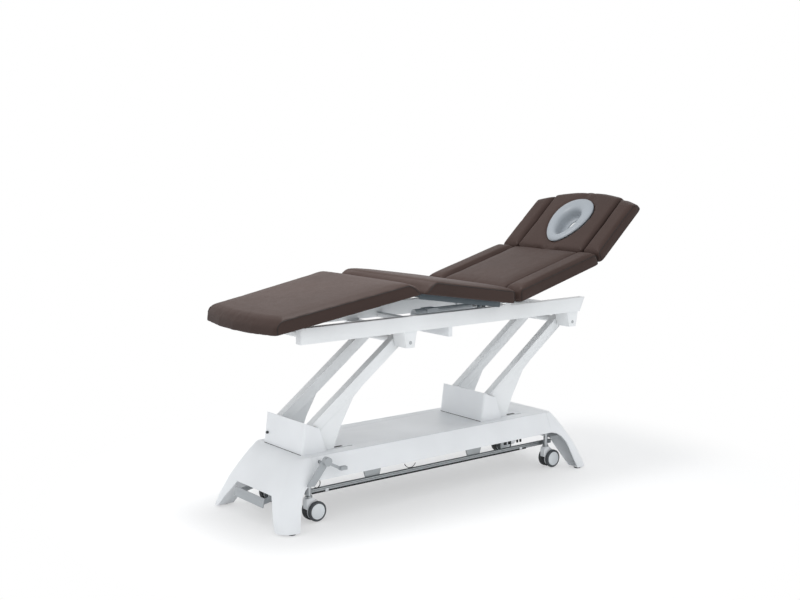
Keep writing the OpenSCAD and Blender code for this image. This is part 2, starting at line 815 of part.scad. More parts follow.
// Motors of the seat and the back
section_motor_d = 36;
section_rod_d = 12;
back_motor_len = 230;
seat_motor_len = 300;
// Distance from the section hinge to the near end of each motor
back_motor_past = 63;
seat_motor_back = 47;
back_motor_x0 = section_hinge_at + back_motor_past;
back_motor_x1 = back_motor_x0 + back_motor_len;
seat_motor_x1 = section_hinge_at - seat_motor_back;
seat_motor_x0 = seat_motor_x1 - seat_motor_len;
motor_bracket_w = 30;
gear_w = 52;
gear_len = 60;
back_pin_at = section_hinge + hung(horn_len, back_rise, back_mid);
seat_pin_at = section_hinge + hung(horn_len, seat_mid, seat_rise);

// A motor tube from x0 to x1 whose rod leaves at x_rod, standing on the cross-member at x_foot
module section_motor(x0, x1, y, z, x_foot, x_gear) {
  union() {
    along([x0, y, z], section_motor_d, x1 - x0);
    block([x_foot - motor_bracket_w / 2, y - motor_bracket_w / 2, cross_top],
      [x_foot + motor_bracket_w / 2, y + motor_bracket_w / 2, z]);
    block([x_gear, y - gear_w / 2, z - section_motor_d / 2],
      [x_gear + gear_len, y + gear_w / 2, z + section_motor_d / 2]);
  }
}

module back_motor() {
  color(BLACK) at_base() difference() {
    section_motor(back_motor_x0, back_motor_x1, motor_y, back_pin_at[2], cross_xs[2],
      back_motor_x1 - gear_len);
    along([back_motor_x0 - cut, motor_y, back_pin_at[2]], section_rod_d + 2 * slide_gap,
      back_motor_x1 - back_motor_x0 - gear_len);
  }
}

module seat_motor() {
  color(BLACK) at_base() difference() {
    section_motor(seat_motor_x0 - motor_bracket_w, seat_motor_x1, -motor_y, seat_pin_at[2], cross_xs[1],
      seat_motor_x0 + motor_bracket_w);
    along([seat_motor_x0 + motor_bracket_w + gear_len, -motor_y, seat_pin_at[2]],
      section_rod_d + 2 * slide_gap, seat_motor_x1 - seat_motor_x0 + cut);
  }
}

rod_in = 70;

module back_motor_rod() {
  low = -horn_len;
  high = -horn_len * cos(back_mid);
  now = back_pin_at[2] - section_hinge[2];
  x = back_pin_at[0] + horn_pin_d / 2 + yoke_room + yoke_wall / 2;
  color(STEEL) at_base() {
    yoke([back_pin_at[0], motor_y, back_pin_at[2]], horn_pin_d, yoke_t, high - now + yoke_play,
      now - low + yoke_play);
    along([x, motor_y, back_pin_at[2]], section_rod_d, back_motor_x0 + rod_in - x);
  }
}

module seat_motor_rod() {
  x = seat_pin_at[0] - horn_pin_d / 2 - yoke_room - yoke_wall / 2;
  color(STEEL) at_base() {
    yoke([seat_pin_at[0], -motor_y, seat_pin_at[2]], horn_pin_d, yoke_t, 2 * yoke_play, 2 * yoke_play);
    along([seat_motor_x1 - rod_in, -motor_y, seat_pin_at[2]], section_rod_d, x - seat_motor_x1 + rod_in);
  }
}

// Lifting gear
arm_ring_d = 30;
// Depth of the lever plate's outer face below the arm's
lever_sink = 1;
lever_out = arm_span / 2 - lever_sink;
lever_in = lever_out - lever_t;
// The lever plate's outline along the arm and square to it, in shares of the lever's radius
lever_shares = [
  [1.72, -0.138], [1.31, -0.172], [0.603, -0.471], [0.167, -0.736], [-0.213, -1.011], [-0.345, -1.011],
  [-0.379, -0.92], [-0.138, -0.046], [0, 0], [1.61, 0]
];
lever_eye_d = 32;
bush_d = tower_shaft_d + 2 * bush_wall;
top_bush_d = frame_shaft_d + 2 * bush_wall;

module in_arm(p) {
  at_base() translate(p) rotate([0, -arm_angle, 0]) children();
}

module lift_arms(p) {
  lever_local = [lever_r * cos(lever_turn), 0, lever_r * sin(lever_turn)];
  in_arm(p) {
    both_sides() difference() {
      union() {
        hull() {
          across([0, arm_span / 2 - arm_t / 2, 0], arm_h, arm_t);
          across([arm_len, arm_span / 2 - arm_t / 2, 0], arm_h, arm_t);
        }
        side_plate(lever_r * lever_shares, lever_in, lever_out);
      }
      across([0, arm_span / 2 - arm_t / 2, 0], bush_d, arm_t + 2 * cut);
      across([arm_len, arm_span / 2 - arm_t / 2, 0], top_bush_d, arm_t + 2 * cut);
    }
    across(lever_local, lever_shaft_d, 2 * lever_out);
    difference() {
      across([arm_len, 0, 0], arm_ring_d, 2 * arm_inner);
      across([arm_len, 0, 0], frame_shaft_d + 2 * slide_gap, 2 * arm_inner + 2 * cut);
    }
  }
}

module arm_bushes(p, top_gap) {
  in_arm(p) both_sides() for (b = [[0, tower_shaft_d, run_fit], [arm_len, frame_shaft_d, top_gap]])
    difference() {
      union() {
        across([b[0], arm_span / 2 - arm_t / 2, 0], b[1] + 2 * bush_wall, arm_t);
        across([b[0], arm_span / 2 + bush_flange / 2, 0], b[1] + 4 * bush_wall, bush_flange);
      }
      across([b[0], arm_span / 2 - arm_t / 2 + bush_flange, 0], b[1] + 2 * b[2],
        arm_t + 4 * bush_flange + cut);
    }
}

module foot_lift_arms() {
  color(WHITE) lift_arms(foot_pivot);
}

module head_lift_arms() {
  color(WHITE) lift_arms(head_pivot);
}

module foot_arm_bushes() {
  color(BRONZE) arm_bushes(foot_pivot, run_fit);
}

module head_arm_bushes() {
  color(BRONZE) arm_bushes(head_pivot, open_gap / 2);
}

tie_t = 20;
tie_h = 16;
tie_eye_d = 32;
// Clearance round the head-end lever shaft, where the linkage is left open
open_gap = 1;

module lift_tie_rod() {
  foot_end = foot_pivot + lever_pin;
  head_end = head_pivot + lever_pin;
  color(MID) at_base() difference() {
    union() {
      across(foot_end, tie_eye_d, tie_t);
      across(head_end, tie_eye_d + 2 * open_gap, tie_t);
      block([foot_end[0], -tie_t / 2, foot_end[2] - tie_h / 2],
        [head_end[0], tie_t / 2, foot_end[2] + tie_h / 2]);
    }
    across(foot_end, lever_shaft_d + 2 * run_fit, tie_t + 2 * cut);
    across(head_end, lever_shaft_d + 2 * open_gap, tie_t + 2 * cut);
  }
}

lift_y = 45;
lift_motor_d = 46;
lift_motor_x0 = -400;
lift_motor_x1 = 235;
lift_rod_d = 18;
lift_yoke_t = 14;
lift_rise = 30;
lift_gear_x = 110;
lift_pin_at = head_pivot + lever_pin;

module lift_motor() {
  color(BLACK) at_base() difference() {
    union() {
      along([lift_motor_x0, lift_y, lift_pin_at[2]], lift_motor_d, lift_motor_x1 - lift_motor_x0);
      block([lift_motor_x0, lift_y - lift_motor_d / 2, lift_pin_at[2] - lift_motor_d / 2],
        [lift_motor_x0 + lift_gear_x, lift_y + lift_motor_d, lift_pin_at[2] + lift_motor_d]);
      block([lift_motor_x0, lift_y, lift_pin_at[2] - lift_rod_d / 2],
        [lift_motor_x0 + motor_bracket_w, frame_y0, lift_pin_at[2] + lift_rod_d / 2]);
    }
    along([lift_motor_x1 - lift_stroke, lift_y, lift_pin_at[2]], lift_rod_d + 2 * slide_gap,
      lift_stroke + cut);
  }
}

lift_stroke = 240;

module lift_motor_rod() {
  x = lift_pin_at[0] - lever_shaft_d / 2 - yoke_room - yoke_wall / 2;
  color(STEEL) at_base() {
    yoke([lift_pin_at[0], lift_y, lift_pin_at[2]], lever_shaft_d, lift_yoke_t, lift_rise, yoke_wall * 2);
    along([lift_motor_x1 - lift_stroke / 3, lift_y, lift_pin_at[2]], lift_rod_d,
      x - lift_motor_x1 + lift_stroke / 3);
  }
}

// Base
frame_y0 = arm_span / 2 + bush_flange + slide_gap;
upright_t = 8;
beam_t = 16;
frame_y1 = frame_y0 + beam_t;
frame_z0 = 192;
frame_z1 = 250;
// Reach of the frame and of its end beams past the end pieces' inner edges
frame_past = 55;
end_beam_past = 42;
frame_end = end_inner + frame_past;
end_beam_x = end_inner + end_beam_past;
end_beam_w = 26;
end_beam_side = 9;
castor_foot_x = end_inner - castor_foot_in;
castor_head_x = end_inner + castor_head_past;
end_beam_y = castor_y + end_beam_side;
end_beam_top = 230;
upright_w = 60;
upright_r = 17;
guide_w = 30;
guide_y1 = castor_y + guide_w / 2;
bracket_y = 92;
bracket_t = 8;
pedal_pivot_z = 118;
pedal_shaft_d = 12;
side_shaft_d = 12;
// Distance of the side lever's shaft from the end piece's inner edge, and below the top of the cover
side_in = 35;
side_drop = 20;
side_x = -end_inner + side_in;
side_z = base_top - side_drop;
stud_d = 8;
stud_head_d = 14;
hanger_shares = [-0.47, 0.394];
hanger_t = 6;
hanger_gap = 0.5;
hanger_y1 = frame_y0 - hanger_gap;
hanger_y0 = hanger_y1 - hanger_t;
stud_z = 221;

module base_frame() {
  color(PALE) at_base() {
    both_sides() {
      difference() {
        union() {
          block([-frame_end, frame_y0, frame_z0], [frame_end, frame_y1, frame_z1]);
          for (x = [-castor_foot_x, castor_head_x])
            block([x - guide_w / 2, frame_y1 - cut, frame_z0 - guide_w / 2],
              [x + guide_w / 2, guide_y1, frame_z1]);
        }
        for (x = [-castor_foot_x, castor_head_x])
          translate([x, castor_y, frame_z0 - guide_w])
            cylinder(d = stem_d + 2 * run_fit, h = frame_z1 - frame_z0 + 2 * guide_w);
      }
      for (x = end_inner * hanger_shares) {
        across([x, frame_y0 - stud_head_d / 2 + cut, stud_z], stud_d, stud_head_d);
        across([x, hanger_y0 - hanger_gap - hanger_t / 2, stud_z], stud_head_d, hanger_t);
      }
    }
    for (s = [-1, 1])
      block([s * (end_beam_x + end_beam_w / 2) - end_beam_w / 2, -end_beam_y, frame_z0],
        [s * (end_beam_x + end_beam_w / 2) + end_beam_w / 2, end_beam_y, end_beam_top]);
    // Brackets for the pedal's pivot
    both_sides() difference() {
      block([-end_beam_x - end_beam_w, bracket_y - bracket_t, pedal_pivot_z - pedal_shaft_d],
        [-end_beam_x, bracket_y, frame_z0 + cut]);
      across([pedal_pivot_x, bracket_y - bracket_t / 2, pedal_pivot_z], pedal_shaft_d + 2 * run_fit,
        bracket_t + 2 * cut);
    }
    // Boss for the side lever's shaft
    difference() {
      block([side_x - side_shaft_d, -guide_y1, side_z - side_shaft_d],
        [side_x + side_shaft_d, -frame_y0 - upright_t - slide_gap, side_z + side_shaft_d]);
      across([side_x, -frame_y1, side_z], side_shaft_d + 2 * run_fit, frame_y1);
    }
  }
}

pedal_pivot_x = -end_beam_x - end_beam_w / 2;

// Plates that stand on the frame and hold the tower shafts
module tower_uprights() {
  color(PALE) at_base() both_sides() for (p = [foot_pivot, head_pivot])
    difference() {
      hull() {
        across([p[0], frame_y0 + upright_t / 2, p[2]], 2 * upright_r, upright_t);
        block([p[0] - upright_w / 2, frame_y0, frame_z1],
          [p[0] + upright_w / 2, frame_y0 + upright_t, frame_z1 + upright_w]);
      }
      across([p[0], frame_y0 + upright_t / 2, p[2]], tower_shaft_d, upright_t + 2 * cut);
    }
}

module tower_shafts() {
  color(STEEL) at_base() for (p = [foot_pivot, head_pivot])
    across(p, tower_shaft_d, 2 * (frame_y0 + upright_t));
}

// Half width of the base's covers at height z
function base_half(z) = z > base_low ?
  base_top_w / 2 + (base_low_w - base_top_w) / 2 * (base_top - z) / (base_top - base_low) :
  base_low_w / 2 + (end_low_w - base_low_w) / 2 * (base_low - z) / base_low;

// The cover's cross-section, drawn in by d
function cover_ring(d, z0) = [
  [-base_half(z0) + d, z0], [base_half(z0) - d, z0], [base_half(base_top) - d, base_top - d],
  [-base_half(base_top) + d, base_top - d]
];

module cross_section(points, x0, x1) {
  translate([x0, 0, 0]) rotate([90, 0, 90]) linear_extrude(x1 - x0) polygon(points);
}

tower_x0 = 70;
tower_wall = 3;
lever_slot_len = 195;
lever_slot_gap = 2;
cover_joint = 0.5;

module base_cover() {
  color(WHITE) at_base() difference() {
    cross_section(cover_ring(0, base_low), -end_inner + cover_joint, end_inner - cover_joint);
    cross_section(cover_ring(cover_wall, base_low - cut), -end_inner - cut, end_inner + cut);
    for (p = [foot_pivot, head_pivot]) {
      block([p[0] - tower_x0 + tower_wall, -tower_w / 2 + tower_wall, base_top - 2 * cover_wall],
        [p[0] - tower_x0 + tower_l - 2 * tower_wall, tower_w / 2 - tower_wall, base_top + cut]);
      both_sides()
        block([p[0], lever_in - lever_slot_gap, base_top - 2 * cover_wall],
          [p[0] + lever_slot_len, lever_out + lever_slot_gap, base_top + cut]);
    }
    across([side_x, -base_low_w / 2, side_z], side_shaft_d + 4 * slide_gap, base_top_w / 4);
  }
}

tower_fall = 30;
tower_top = base_top + tower_h;
// How far a tower cover's foot and head side lean towards its middle at the top
tower_foot_lean = 18;
tower_head_lean = 33;
// Distance from the tower pivot, on the foot side, at which the arms' openings begin
arm_opening_x = 22;
arm_opening_gap = 4;

function tower_outline(d) =
  [[-tower_x0 + d, base_top - (d > 0 ? cut : 0)], [-tower_x0 + tower_l - d, base_top - (d > 0 ? cut : 0)],
   [-tower_x0 + tower_l - tower_head_lean - d, tower_top - tower_fall - d],
   [-tower_x0 + tower_foot_lean + d, tower_top - d]];

module tower_cover(p) {
  at_base() translate([p[0], 0, 0]) difference() {
    side_plate(tower_outline(0), -tower_w / 2, tower_w / 2);
    side_plate(tower_outline(tower_wall), -tower_w / 2 + tower_wall, tower_w / 2 - tower_wall);
    both_sides() block([-arm_opening_x, arm_inner - arm_opening_gap, base_top - cut],
      [tower_l, tower_w / 2 - tower_wall, tower_top + cut]);
  }
}

module foot_tower_cover() {
  color(WHITE) tower_cover(foot_pivot);
}

module head_tower_cover() {
  color(WHITE) tower_cover(head_pivot);
}

// End pieces
// Reach of an end piece past its inner edge
shell_reach = 208;
// How far out, and how far up from the foot, each point of an end piece's outer and inner edge lies
shell_profile_shares = [
  [0.945, 0], [0.89, 0.159], [0.731, 0.458], [0.553, 0.67], [0.409, 0.848], [0.298, 0.947], [0.192, 0.992],
  [0.115, 1]
];
shell_inner_shares = [[0.567, 0], [0.49, 0.197], [0.389, 0.458], [0.274, 0.572], [0.144, 0.636]];

function shell_point(q) = [end_inner + shell_reach * q[0], foot_h + (base_top - foot_h) * q[1]];

// Distance from the middle of the base, and height, of points on an end piece's outer edge
shell_profile = [for (q = shell_profile_shares) shell_point(q)];
// The same on its inner edge
shell_inner = [for (q = shell_inner_shares) shell_point(q)];
shell_corner_r = 60;
shell_corner_steps = 6;
shell_wall = 5;
// The hollow's outer edge, up to the underside of the flat top
hollow_profile = concat([[shell_profile[0][0], foot_h + shell_wall]],
  [for (q = shell_profile) if (q[1] > foot_h + shell_wall && q[1] < base_top - 2 * shell_wall) q],
  [[shell_profile[6][0], base_top - shell_wall]]);

// One ring of an end piece at height z, with its outer edge at x, drawn in by d
function shell_ring(x, z, d, x_in) =
  let (w = base_half(z + d) - d, r = min(shell_corner_r, x - d - x_in - shell_wall))
  concat(
    [[x_in, -w, z]],
    [for (i = [0:shell_corner_steps])
      let (a = -90 + 90 * i / shell_corner_steps) [x - d - r + r * cos(a), -w + r + r * sin(a), z]],
    [for (i = [0:shell_corner_steps])
      let (a = 90 * i / shell_corner_steps) [x - d - r + r * cos(a), w - r + r * sin(a), z]],
    [[x_in, w, z]]
  );

module loft(rings) {
  n = len(rings[0]);
  top = len(rings) - 1;
  faces = concat(
    [[for (i = [n - 1:-1:0]) i]],
    [for (k = [0:top - 1]) for (i = [0:n - 1])
      let (j = (i + 1) % n) [k * n + i, k * n + j, (k + 1) * n + i]],
    [for (k = [0:top - 1]) for (i = [0:n - 1])
      let (j = (i + 1) % n) [k * n + j, (k + 1) * n + j, (k + 1) * n + i]],
    [[for (i = [0:n - 1]) top * n + i]]
  );
  polyhedron(points = [for (ring = rings) each ring], faces = [for (f = faces) reversed(f)]);
}

// Thickness of the arch's slanted sides along the floor, in shares of the wall
arch_wall_share = 1.1;

function arch_ring(d) = [
  [-arch_low_w / 2 - d * arch_wall_share, -cut], [arch_low_w / 2 + d * arch_wall_share, -cut],
  [arch_top_w / 2 + d, arch_h + d],
  [-arch_top_w / 2 - d, arch_h + d]
];

module end_shell() {
  difference() {
    loft([for (q = shell_profile) shell_ring(q[0], q[1], 0, end_inner)]);
    // The hollow inside, open towards the middle of the table
    difference() {
      loft([for (q = hollow_profile) shell_ring(q[0], q[1], shell_wall, end_inner - cut)]);
      cross_section(arch_ring(shell_wall), end_inner - 2 * cut, shell_profile[0][0] + cut);
    }
    // The arch between the feet
    cross_section(arch_ring(0), end_inner - cut, shell_profile[0][0] + cut);
    // The underside between the inner edge and the base's cover
    side_plate(concat([[end_inner - cut, -cut], [shell_inner[0][0], -cut]], shell_inner,
      [[end_inner, base_low], [end_inner - cut, base_low]]), -end_low_w, end_low_w);
  }
}

module foot_end_shell() {
  color(WHITE) at_base() mirror([1, 0, 0]) end_shell();
}

module head_end_shell() {
  color(WHITE) at_base() end_shell();
}

// Places of the feet, as a share of an end piece's reach and as a distance from its outer edge
foot_at_share = 0.673;
foot_in = 30;
foot_x = end_inner + shell_reach * foot_at_share;
foot_y = end_low_w / 2 - foot_in;

module floor_feet() {
  color(BLACK) at_base() for (x = [-foot_x, foot_x]) for (y = [-foot_y, foot_y])
    translate([x, y, 0]) cylinder(d1 = foot_d - 2 * foot_h / 4, d2 = foot_d, h = foot_h);
}

unit_x0 = -150;
unit_x1 = 50;
unit_y0 = 66;
unit_h = 50;

module control_unit() {
  color(BLACK) at_base() block([unit_x0, -frame_y0, frame_z0], [unit_x1, -unit_y0, frame_z0 + unit_h]);
}

inlet_y0 = 40;
inlet_y1 = 90;
inlet_z0 = 104;
inlet_wall = 8;
inlet_depth = 14;

module mains_inlet() {
  x1 = end_beam_x + end_beam_w;
  color(BLACK) at_base() difference() {
    block([end_beam_x - cut, inlet_y0, inlet_z0], [x1, inlet_y1, frame_z0]);
    block([x1 - inlet_depth, inlet_y0 + inlet_wall, inlet_z0 + inlet_wall],
      [x1 + cut, inlet_y1 - inlet_wall, inlet_z0 + 4 * inlet_wall]);
  }
}

// Foot controls
hanger_top_w = 100;
hanger_low_w = 64;
hanger_z1 = 168;
tongue_w = 30;
bar_travel = 5;
foot_bar_x0 = -end_inner;
// Reach of the foot bars past the head end's inner edge
foot_bar_past = 76;
foot_bar_x1 = end_inner + foot_bar_past;

module foot_bar() {
  z0 = foot_bar_z - foot_bar_h / 2;
  z1 = foot_bar_z + foot_bar_h / 2;
  block([foot_bar_x0, hanger_y1 - cut / 4, z0], [foot_bar_x1, hanger_y1 + foot_bar_t, z1]);
  for (x = end_inner * hanger_shares)
    difference() {
      union() {
        side_plate([[x - hanger_low_w / 2, z0], [x + hanger_low_w / 2, z0],
          [x + hanger_top_w / 2, hanger_z1], [x - hanger_top_w / 2, hanger_z1]], hanger_y0, hanger_y1);
        block([x - tongue_w / 2, hanger_y0, hanger_z1 - cut],
          [x + tongue_w / 2, hanger_y1, stud_z + tongue_w / 2]);
      }
      hull() for (s = [-1, 1])
        across([x, (hanger_y0 + hanger_y1) / 2, stud_z + s * bar_travel], stud_d + 2 * slide_gap,
          hanger_t + 2 * cut);
    }
}

module near_foot_bar() {
  color(MID) at_base() mirror([0, 1, 0]) foot_bar();
}

module far_foot_bar() {
  color(MID) at_base() foot_bar();
}

pedal_t = 4;
pedal_z = 96;
pedal_arm_h = 22;

module castor_pedal() {
  x0 = pedal_pivot_x - pedal_reach;
  color(GREY) at_base() {
    // The tread plate, leaning outwards at the top
    side_plate([[x0, pedal_z - pedal_h / 2], [x0 + pedal_t, pedal_z - pedal_h / 2],
      [x0 + pedal_t * 3, pedal_z + pedal_h / 2], [x0 + pedal_t * 2, pedal_z + pedal_h / 2]],
      -pedal_w / 2, pedal_w / 2);
    both_sides() difference() {
      hull() {
        across([pedal_pivot_x, bracket_y + slide_gap + pedal_t / 2, pedal_pivot_z], pedal_arm_h, pedal_t);
        across([x0 + pedal_arm_h / 2 + pedal_t, bracket_y + slide_gap + pedal_t / 2, pedal_z],
          pedal_arm_h, pedal_t);
      }
      across([pedal_pivot_x, bracket_y, pedal_pivot_z], pedal_shaft_d, bracket_t * 4);
    }
    across([pedal_pivot_x, 0, pedal_pivot_z], pedal_shaft_d, 2 * (bracket_y + slide_gap + pedal_t));
  }
}

// Distance of the side lever from the cover's lower edge
side_gap = 13;
lever_cap_y0 = base_low_w / 2 + side_gap;
lever_cap_t = 22;
lever_cap_y1 = lever_cap_y0 + lever_cap_t;
side_plate_t = 6;
side_arm_t = 6;
side_cap_d = 36;
// Reach of the side lever's plate and arm from its shaft
side_reach = 92;
// Points along the table and upwards from the shaft, in shares of the reach
side_cap_share = 0.13;
side_tread_shares = [[-0.217, 0.13], [-1, -0.848], [-0.609, -0.891], [0.196, 0.087]];
side_arm_shares = [[0, 0.152], [0.674, -0.196], [1, -0.239], [1, -0.348], [0.63, -0.326], [-0.043, 0.043]];
side_pad_shares = [[0.674, -0.37], [1, -0.217]];

module side_lever() {
  color(GREY) at_base() mirror([0, 1, 0]) translate([side_x, 0, side_z]) {
    across([0, (frame_y1 + slide_gap + lever_cap_y1) / 2, 0], side_shaft_d,
      lever_cap_y1 - frame_y1 - slide_gap);
    // The cap round the shaft, with the wide tread plate and the thin arm
    across([0, (lever_cap_y0 + lever_cap_y1) / 2, side_reach * side_cap_share], side_cap_d, lever_cap_t);
    side_plate(side_reach * side_tread_shares, lever_cap_y0, lever_cap_y0 + side_plate_t);
    side_plate(side_reach * side_arm_shares, lever_cap_y0 + side_plate_t,
      lever_cap_y0 + side_plate_t + side_arm_t);
    side_plate([for (k = [0, 1]) each
      [for (m = k == 0 ? [0, 1] : [1, 0]) side_reach * [side_pad_shares[m][0], side_pad_shares[k][1]]]],
      lever_cap_y0, lever_cap_y1);
  }
}

// Castors
lift_bar_z0 = 158;
lift_bar_h = 13;
lift_bar_w = 16;
link_y = 94;
link_w = 12;
swivel_d = 10;
stem_top = 246;
fork_t = 26;
axle_d = 10;
axle_z = wheel_d / 2 + wheel_lift;
fork_top_share = 0.667;
fork_top = axle_z + wheel_d * fork_top_share;
// The fork's outline: shares of the trail and of the wheel along it, and of the wheel above the axle
fork_shares = [
  [0, -0.19, 0.667], [0, 0.143, 0.667], [0, 0.381, 0.5], [1, 0.143, 0], [1, 0, -0.214], [0, 0, -0.333],
  [0, -0.214, -0.262], [0, -0.238, 0.476]
];
wheel_pitch = 46;

module castor_stems() {
  color(SILVER) at_base() {
    for (x = [-castor_foot_x, castor_head_x]) {
      both_sides() translate([x, castor_y, 0]) {
        translate([0, 0, fork_top + slide_gap]) cylinder(d = stem_d, h = stem_top - fork_top - slide_gap);
        translate([0, 0, axle_z + axle_d]) cylinder(d = swivel_d, h = fork_top - axle_z);
      }
      block([x - lift_bar_w / 2, -castor_y, lift_bar_z0],
        [x + lift_bar_w / 2, castor_y, lift_bar_z0 + lift_bar_h]);
    }
    block([-castor_foot_x, -link_y - link_w / 2, lift_bar_z0],
      [castor_head_x, -link_y + link_w / 2, lift_bar_z0 + lift_bar_h]);
  }
}

// A castor's fork, from the stem's axis at the origin
module fork(x, y) {
  color(WHITE) at_base() translate([x, y, 0]) difference() {
    side_plate([for (q = fork_shares) [castor_trail * q[0] + wheel_d * q[1], axle_z + wheel_d * q[2]]],
      -fork_t / 2, fork_t / 2);
    translate([0, 0, axle_z + axle_d - cut]) cylinder(d = swivel_d + 2 * run_fit, h = fork_top);
    across([castor_trail, 0, axle_z], axle_d + 2 * run_fit, fork_t + 2 * cut);
  }
}

// Twin wheels on their axle
module wheel_pair(x, y) {
  edge = 3;
  color(BLACK) at_base() translate([x + castor_trail, y, axle_z]) rotate([90, 0, 0]) {
    for (s = [-1, 1])
      translate([0, 0, s * wheel_pitch / 2]) rotate_extrude($fn = 64) polygon([
        [0, -wheel_t / 2], [wheel_d / 2 - edge, -wheel_t / 2], [wheel_d / 2, -wheel_t / 2 + edge],
        [wheel_d / 2, wheel_t / 2 - edge], [wheel_d / 2 - edge, wheel_t / 2], [0, wheel_t / 2]
      ]);
    cylinder(d = axle_d, h = wheel_pitch, center = true);
  }
}

module castor_fork_1() {
  fork(-castor_foot_x, -castor_y);
}

module castor_fork_2() {
  fork(-castor_foot_x, castor_y);
}

module castor_fork_3() {
  fork(castor_head_x, -castor_y);
}

module castor_fork_4() {
  fork(castor_head_x, castor_y);
}

module castor_wheel_1() {
  wheel_pair(-castor_foot_x, -castor_y);
}

module castor_wheel_2() {
  wheel_pair(-castor_foot_x, castor_y);
}

module castor_wheel_3() {
  wheel_pair(castor_head_x, -castor_y);
}

module castor_wheel_4() {
  wheel_pair(castor_head_x, castor_y);
}

base_frame();
tower_uprights();
base_cover();
foot_end_shell();
head_end_shell();
foot_tower_cover();
head_tower_cover();
floor_feet();
tower_shafts();
lift_motor();
control_unit();
mains_inlet();
foot_lift_arms();
foot_arm_bushes();
head_lift_arms();
head_arm_bushes();
lift_tie_rod();
lift_motor_rod();
near_rail();
far_rail();
rail_end_caps();
frame_cross_members();
arm_lugs();
upper_arm_shafts();
frame_hinge_ears();
section_hinge_pins();
junction_box();
back_motor();
back_motor_rod();
seat_motor();
seat_motor_rod();
seat_cushion();
seat_frame();
leg_cushion();
leg_frame();
leg_hinge_pins();
leg_bumpers();
back_cushion();
back_bolsters();
back_frame();
head_hinge_pins();
head_cushion();
head_bolsters();
face_insert();
head_frame();
head_spring();
head_spring_rod();
near_foot_bar();
far_foot_bar();
castor_pedal();
side_lever();
castor_stems();
castor_fork_1();
castor_fork_2();
castor_fork_3();
castor_fork_4();
castor_wheel_1();
castor_wheel_2();
castor_wheel_3();
castor_wheel_4();
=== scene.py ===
import json
from collections import namedtuple
from math import cos, hypot, pi, radians, sin

import bmesh
import bpy
from mathutils import Matrix, Vector
from mathutils.bvhtree import BVHTree


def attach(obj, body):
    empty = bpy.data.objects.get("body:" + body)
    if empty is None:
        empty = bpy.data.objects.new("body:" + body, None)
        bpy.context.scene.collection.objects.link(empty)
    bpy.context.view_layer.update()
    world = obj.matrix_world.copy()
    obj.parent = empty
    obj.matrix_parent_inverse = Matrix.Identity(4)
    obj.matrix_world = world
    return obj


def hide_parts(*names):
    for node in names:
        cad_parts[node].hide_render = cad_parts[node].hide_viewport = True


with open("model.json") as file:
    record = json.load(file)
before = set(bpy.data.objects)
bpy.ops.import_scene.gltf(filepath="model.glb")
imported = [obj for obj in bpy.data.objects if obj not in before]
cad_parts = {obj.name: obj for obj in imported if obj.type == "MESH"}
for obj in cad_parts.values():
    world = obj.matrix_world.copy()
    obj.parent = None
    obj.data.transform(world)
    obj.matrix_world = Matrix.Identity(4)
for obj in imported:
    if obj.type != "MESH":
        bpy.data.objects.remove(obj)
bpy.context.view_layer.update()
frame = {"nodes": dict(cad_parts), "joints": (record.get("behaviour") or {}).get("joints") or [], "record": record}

bl_info = {
    "name": "Treatment table",
    "version": (1, 0, 0),
    "blender": (4, 5, 0),
    "location": "3D View > Sidebar > Treatment table",
    "description": "Dresses the packed frame of a height-adjustable treatment table",
    "category": "Object",
}

MM = 0.001

# Angles at which the sections and the arms stand at rest, in degrees about +Y
SEAT_TURN = 9.0
LEG_TURN = -9.63
BACK_TURN = -15.5
HEAD_TURN = -42.0


def joint(name):
    """The record of one joint."""
    return next(j for j in frame["joints"] if j["name"] == name)


def joint_at(name):
    return Vector(joint(name)["pos_m"])


def body_of(node):
    return next(b for b, nodes in frame["record"]["behaviour"]["bodies"].items() if node in nodes)


def slot_of(node):
    return next(p["material_slot"] for p in frame["record"]["subparts"] if p["node"] == node)


# Where the tower pivots lie along the table, from the middle of the base in millimetres
FOOT_PIVOT_X = -605.0
HEAD_PIVOT_X = 364.0
BASE_X = joint_at("table_lift").x - FOOT_PIVOT_X * MM


def turned_place(point, degrees):
    return Matrix.Translation(point) @ Matrix.Rotation(radians(degrees), 4, "Y")


SEAT = turned_place(joint_at("seat_rise"), SEAT_TURN)
LEG = turned_place(joint_at("leg_fall"), LEG_TURN)
BACK = turned_place(joint_at("back_rise"), BACK_TURN)
HEAD = turned_place(joint_at("head_tilt"), HEAD_TURN)
BASE = Matrix.Translation((BASE_X, 0, 0))


# Materials

def linear(code, share=1.0):
    """An sRGB hex colour as linear RGBA, made lighter or darker by a share."""
    out = []
    for i in (1, 3, 5):
        c = int(code[i:i + 2], 16) / 255
        c = c / 12.92 if c <= 0.04045 else ((c + 0.055) / 1.055) ** 2.4
        out.append(min(1.0, c * share))
    return (*out, 1.0)


def add_node(tree, kind, settings, links=()):
    """Adds one node, with its settings by name or by socket, and its links as (socket, node, output)."""
    node = tree.nodes.new(kind)
    for key, value in settings.items():
        if isinstance(key, str) and hasattr(node, key):
            setattr(node, key, value)
        else:
            node.inputs[key].default_value = value
    for socket, source, output in links:
        tree.links.new(source.outputs[output], node.inputs[socket])
    return node


def new_material(name):
    material = bpy.data.materials.new(name)
    material.use_nodes = True
    material.node_tree.nodes.clear()
    return material, material.node_tree


def finish_surface(tree, settings, links):
    shader = add_node(tree, "ShaderNodeBsdfPrincipled", settings, links)
    add_node(tree, "ShaderNodeOutputMaterial", {}, [("Surface", shader, "BSDF")])
    return shader


def two_tone(tree, spread, colour, darker, lighter):
    """A colour that wanders between two shares of itself, over a noise."""
    ramp = add_node(tree, "ShaderNodeValToRGB", {}, [("Fac", spread, 0)])
    ramp.color_ramp.elements[0].position = 0.3
    ramp.color_ramp.elements[1].position = 0.7
    ramp.color_ramp.elements[0].color = linear(colour, darker)
    ramp.color_ramp.elements[1].color = linear(colour, lighter)
    return ramp


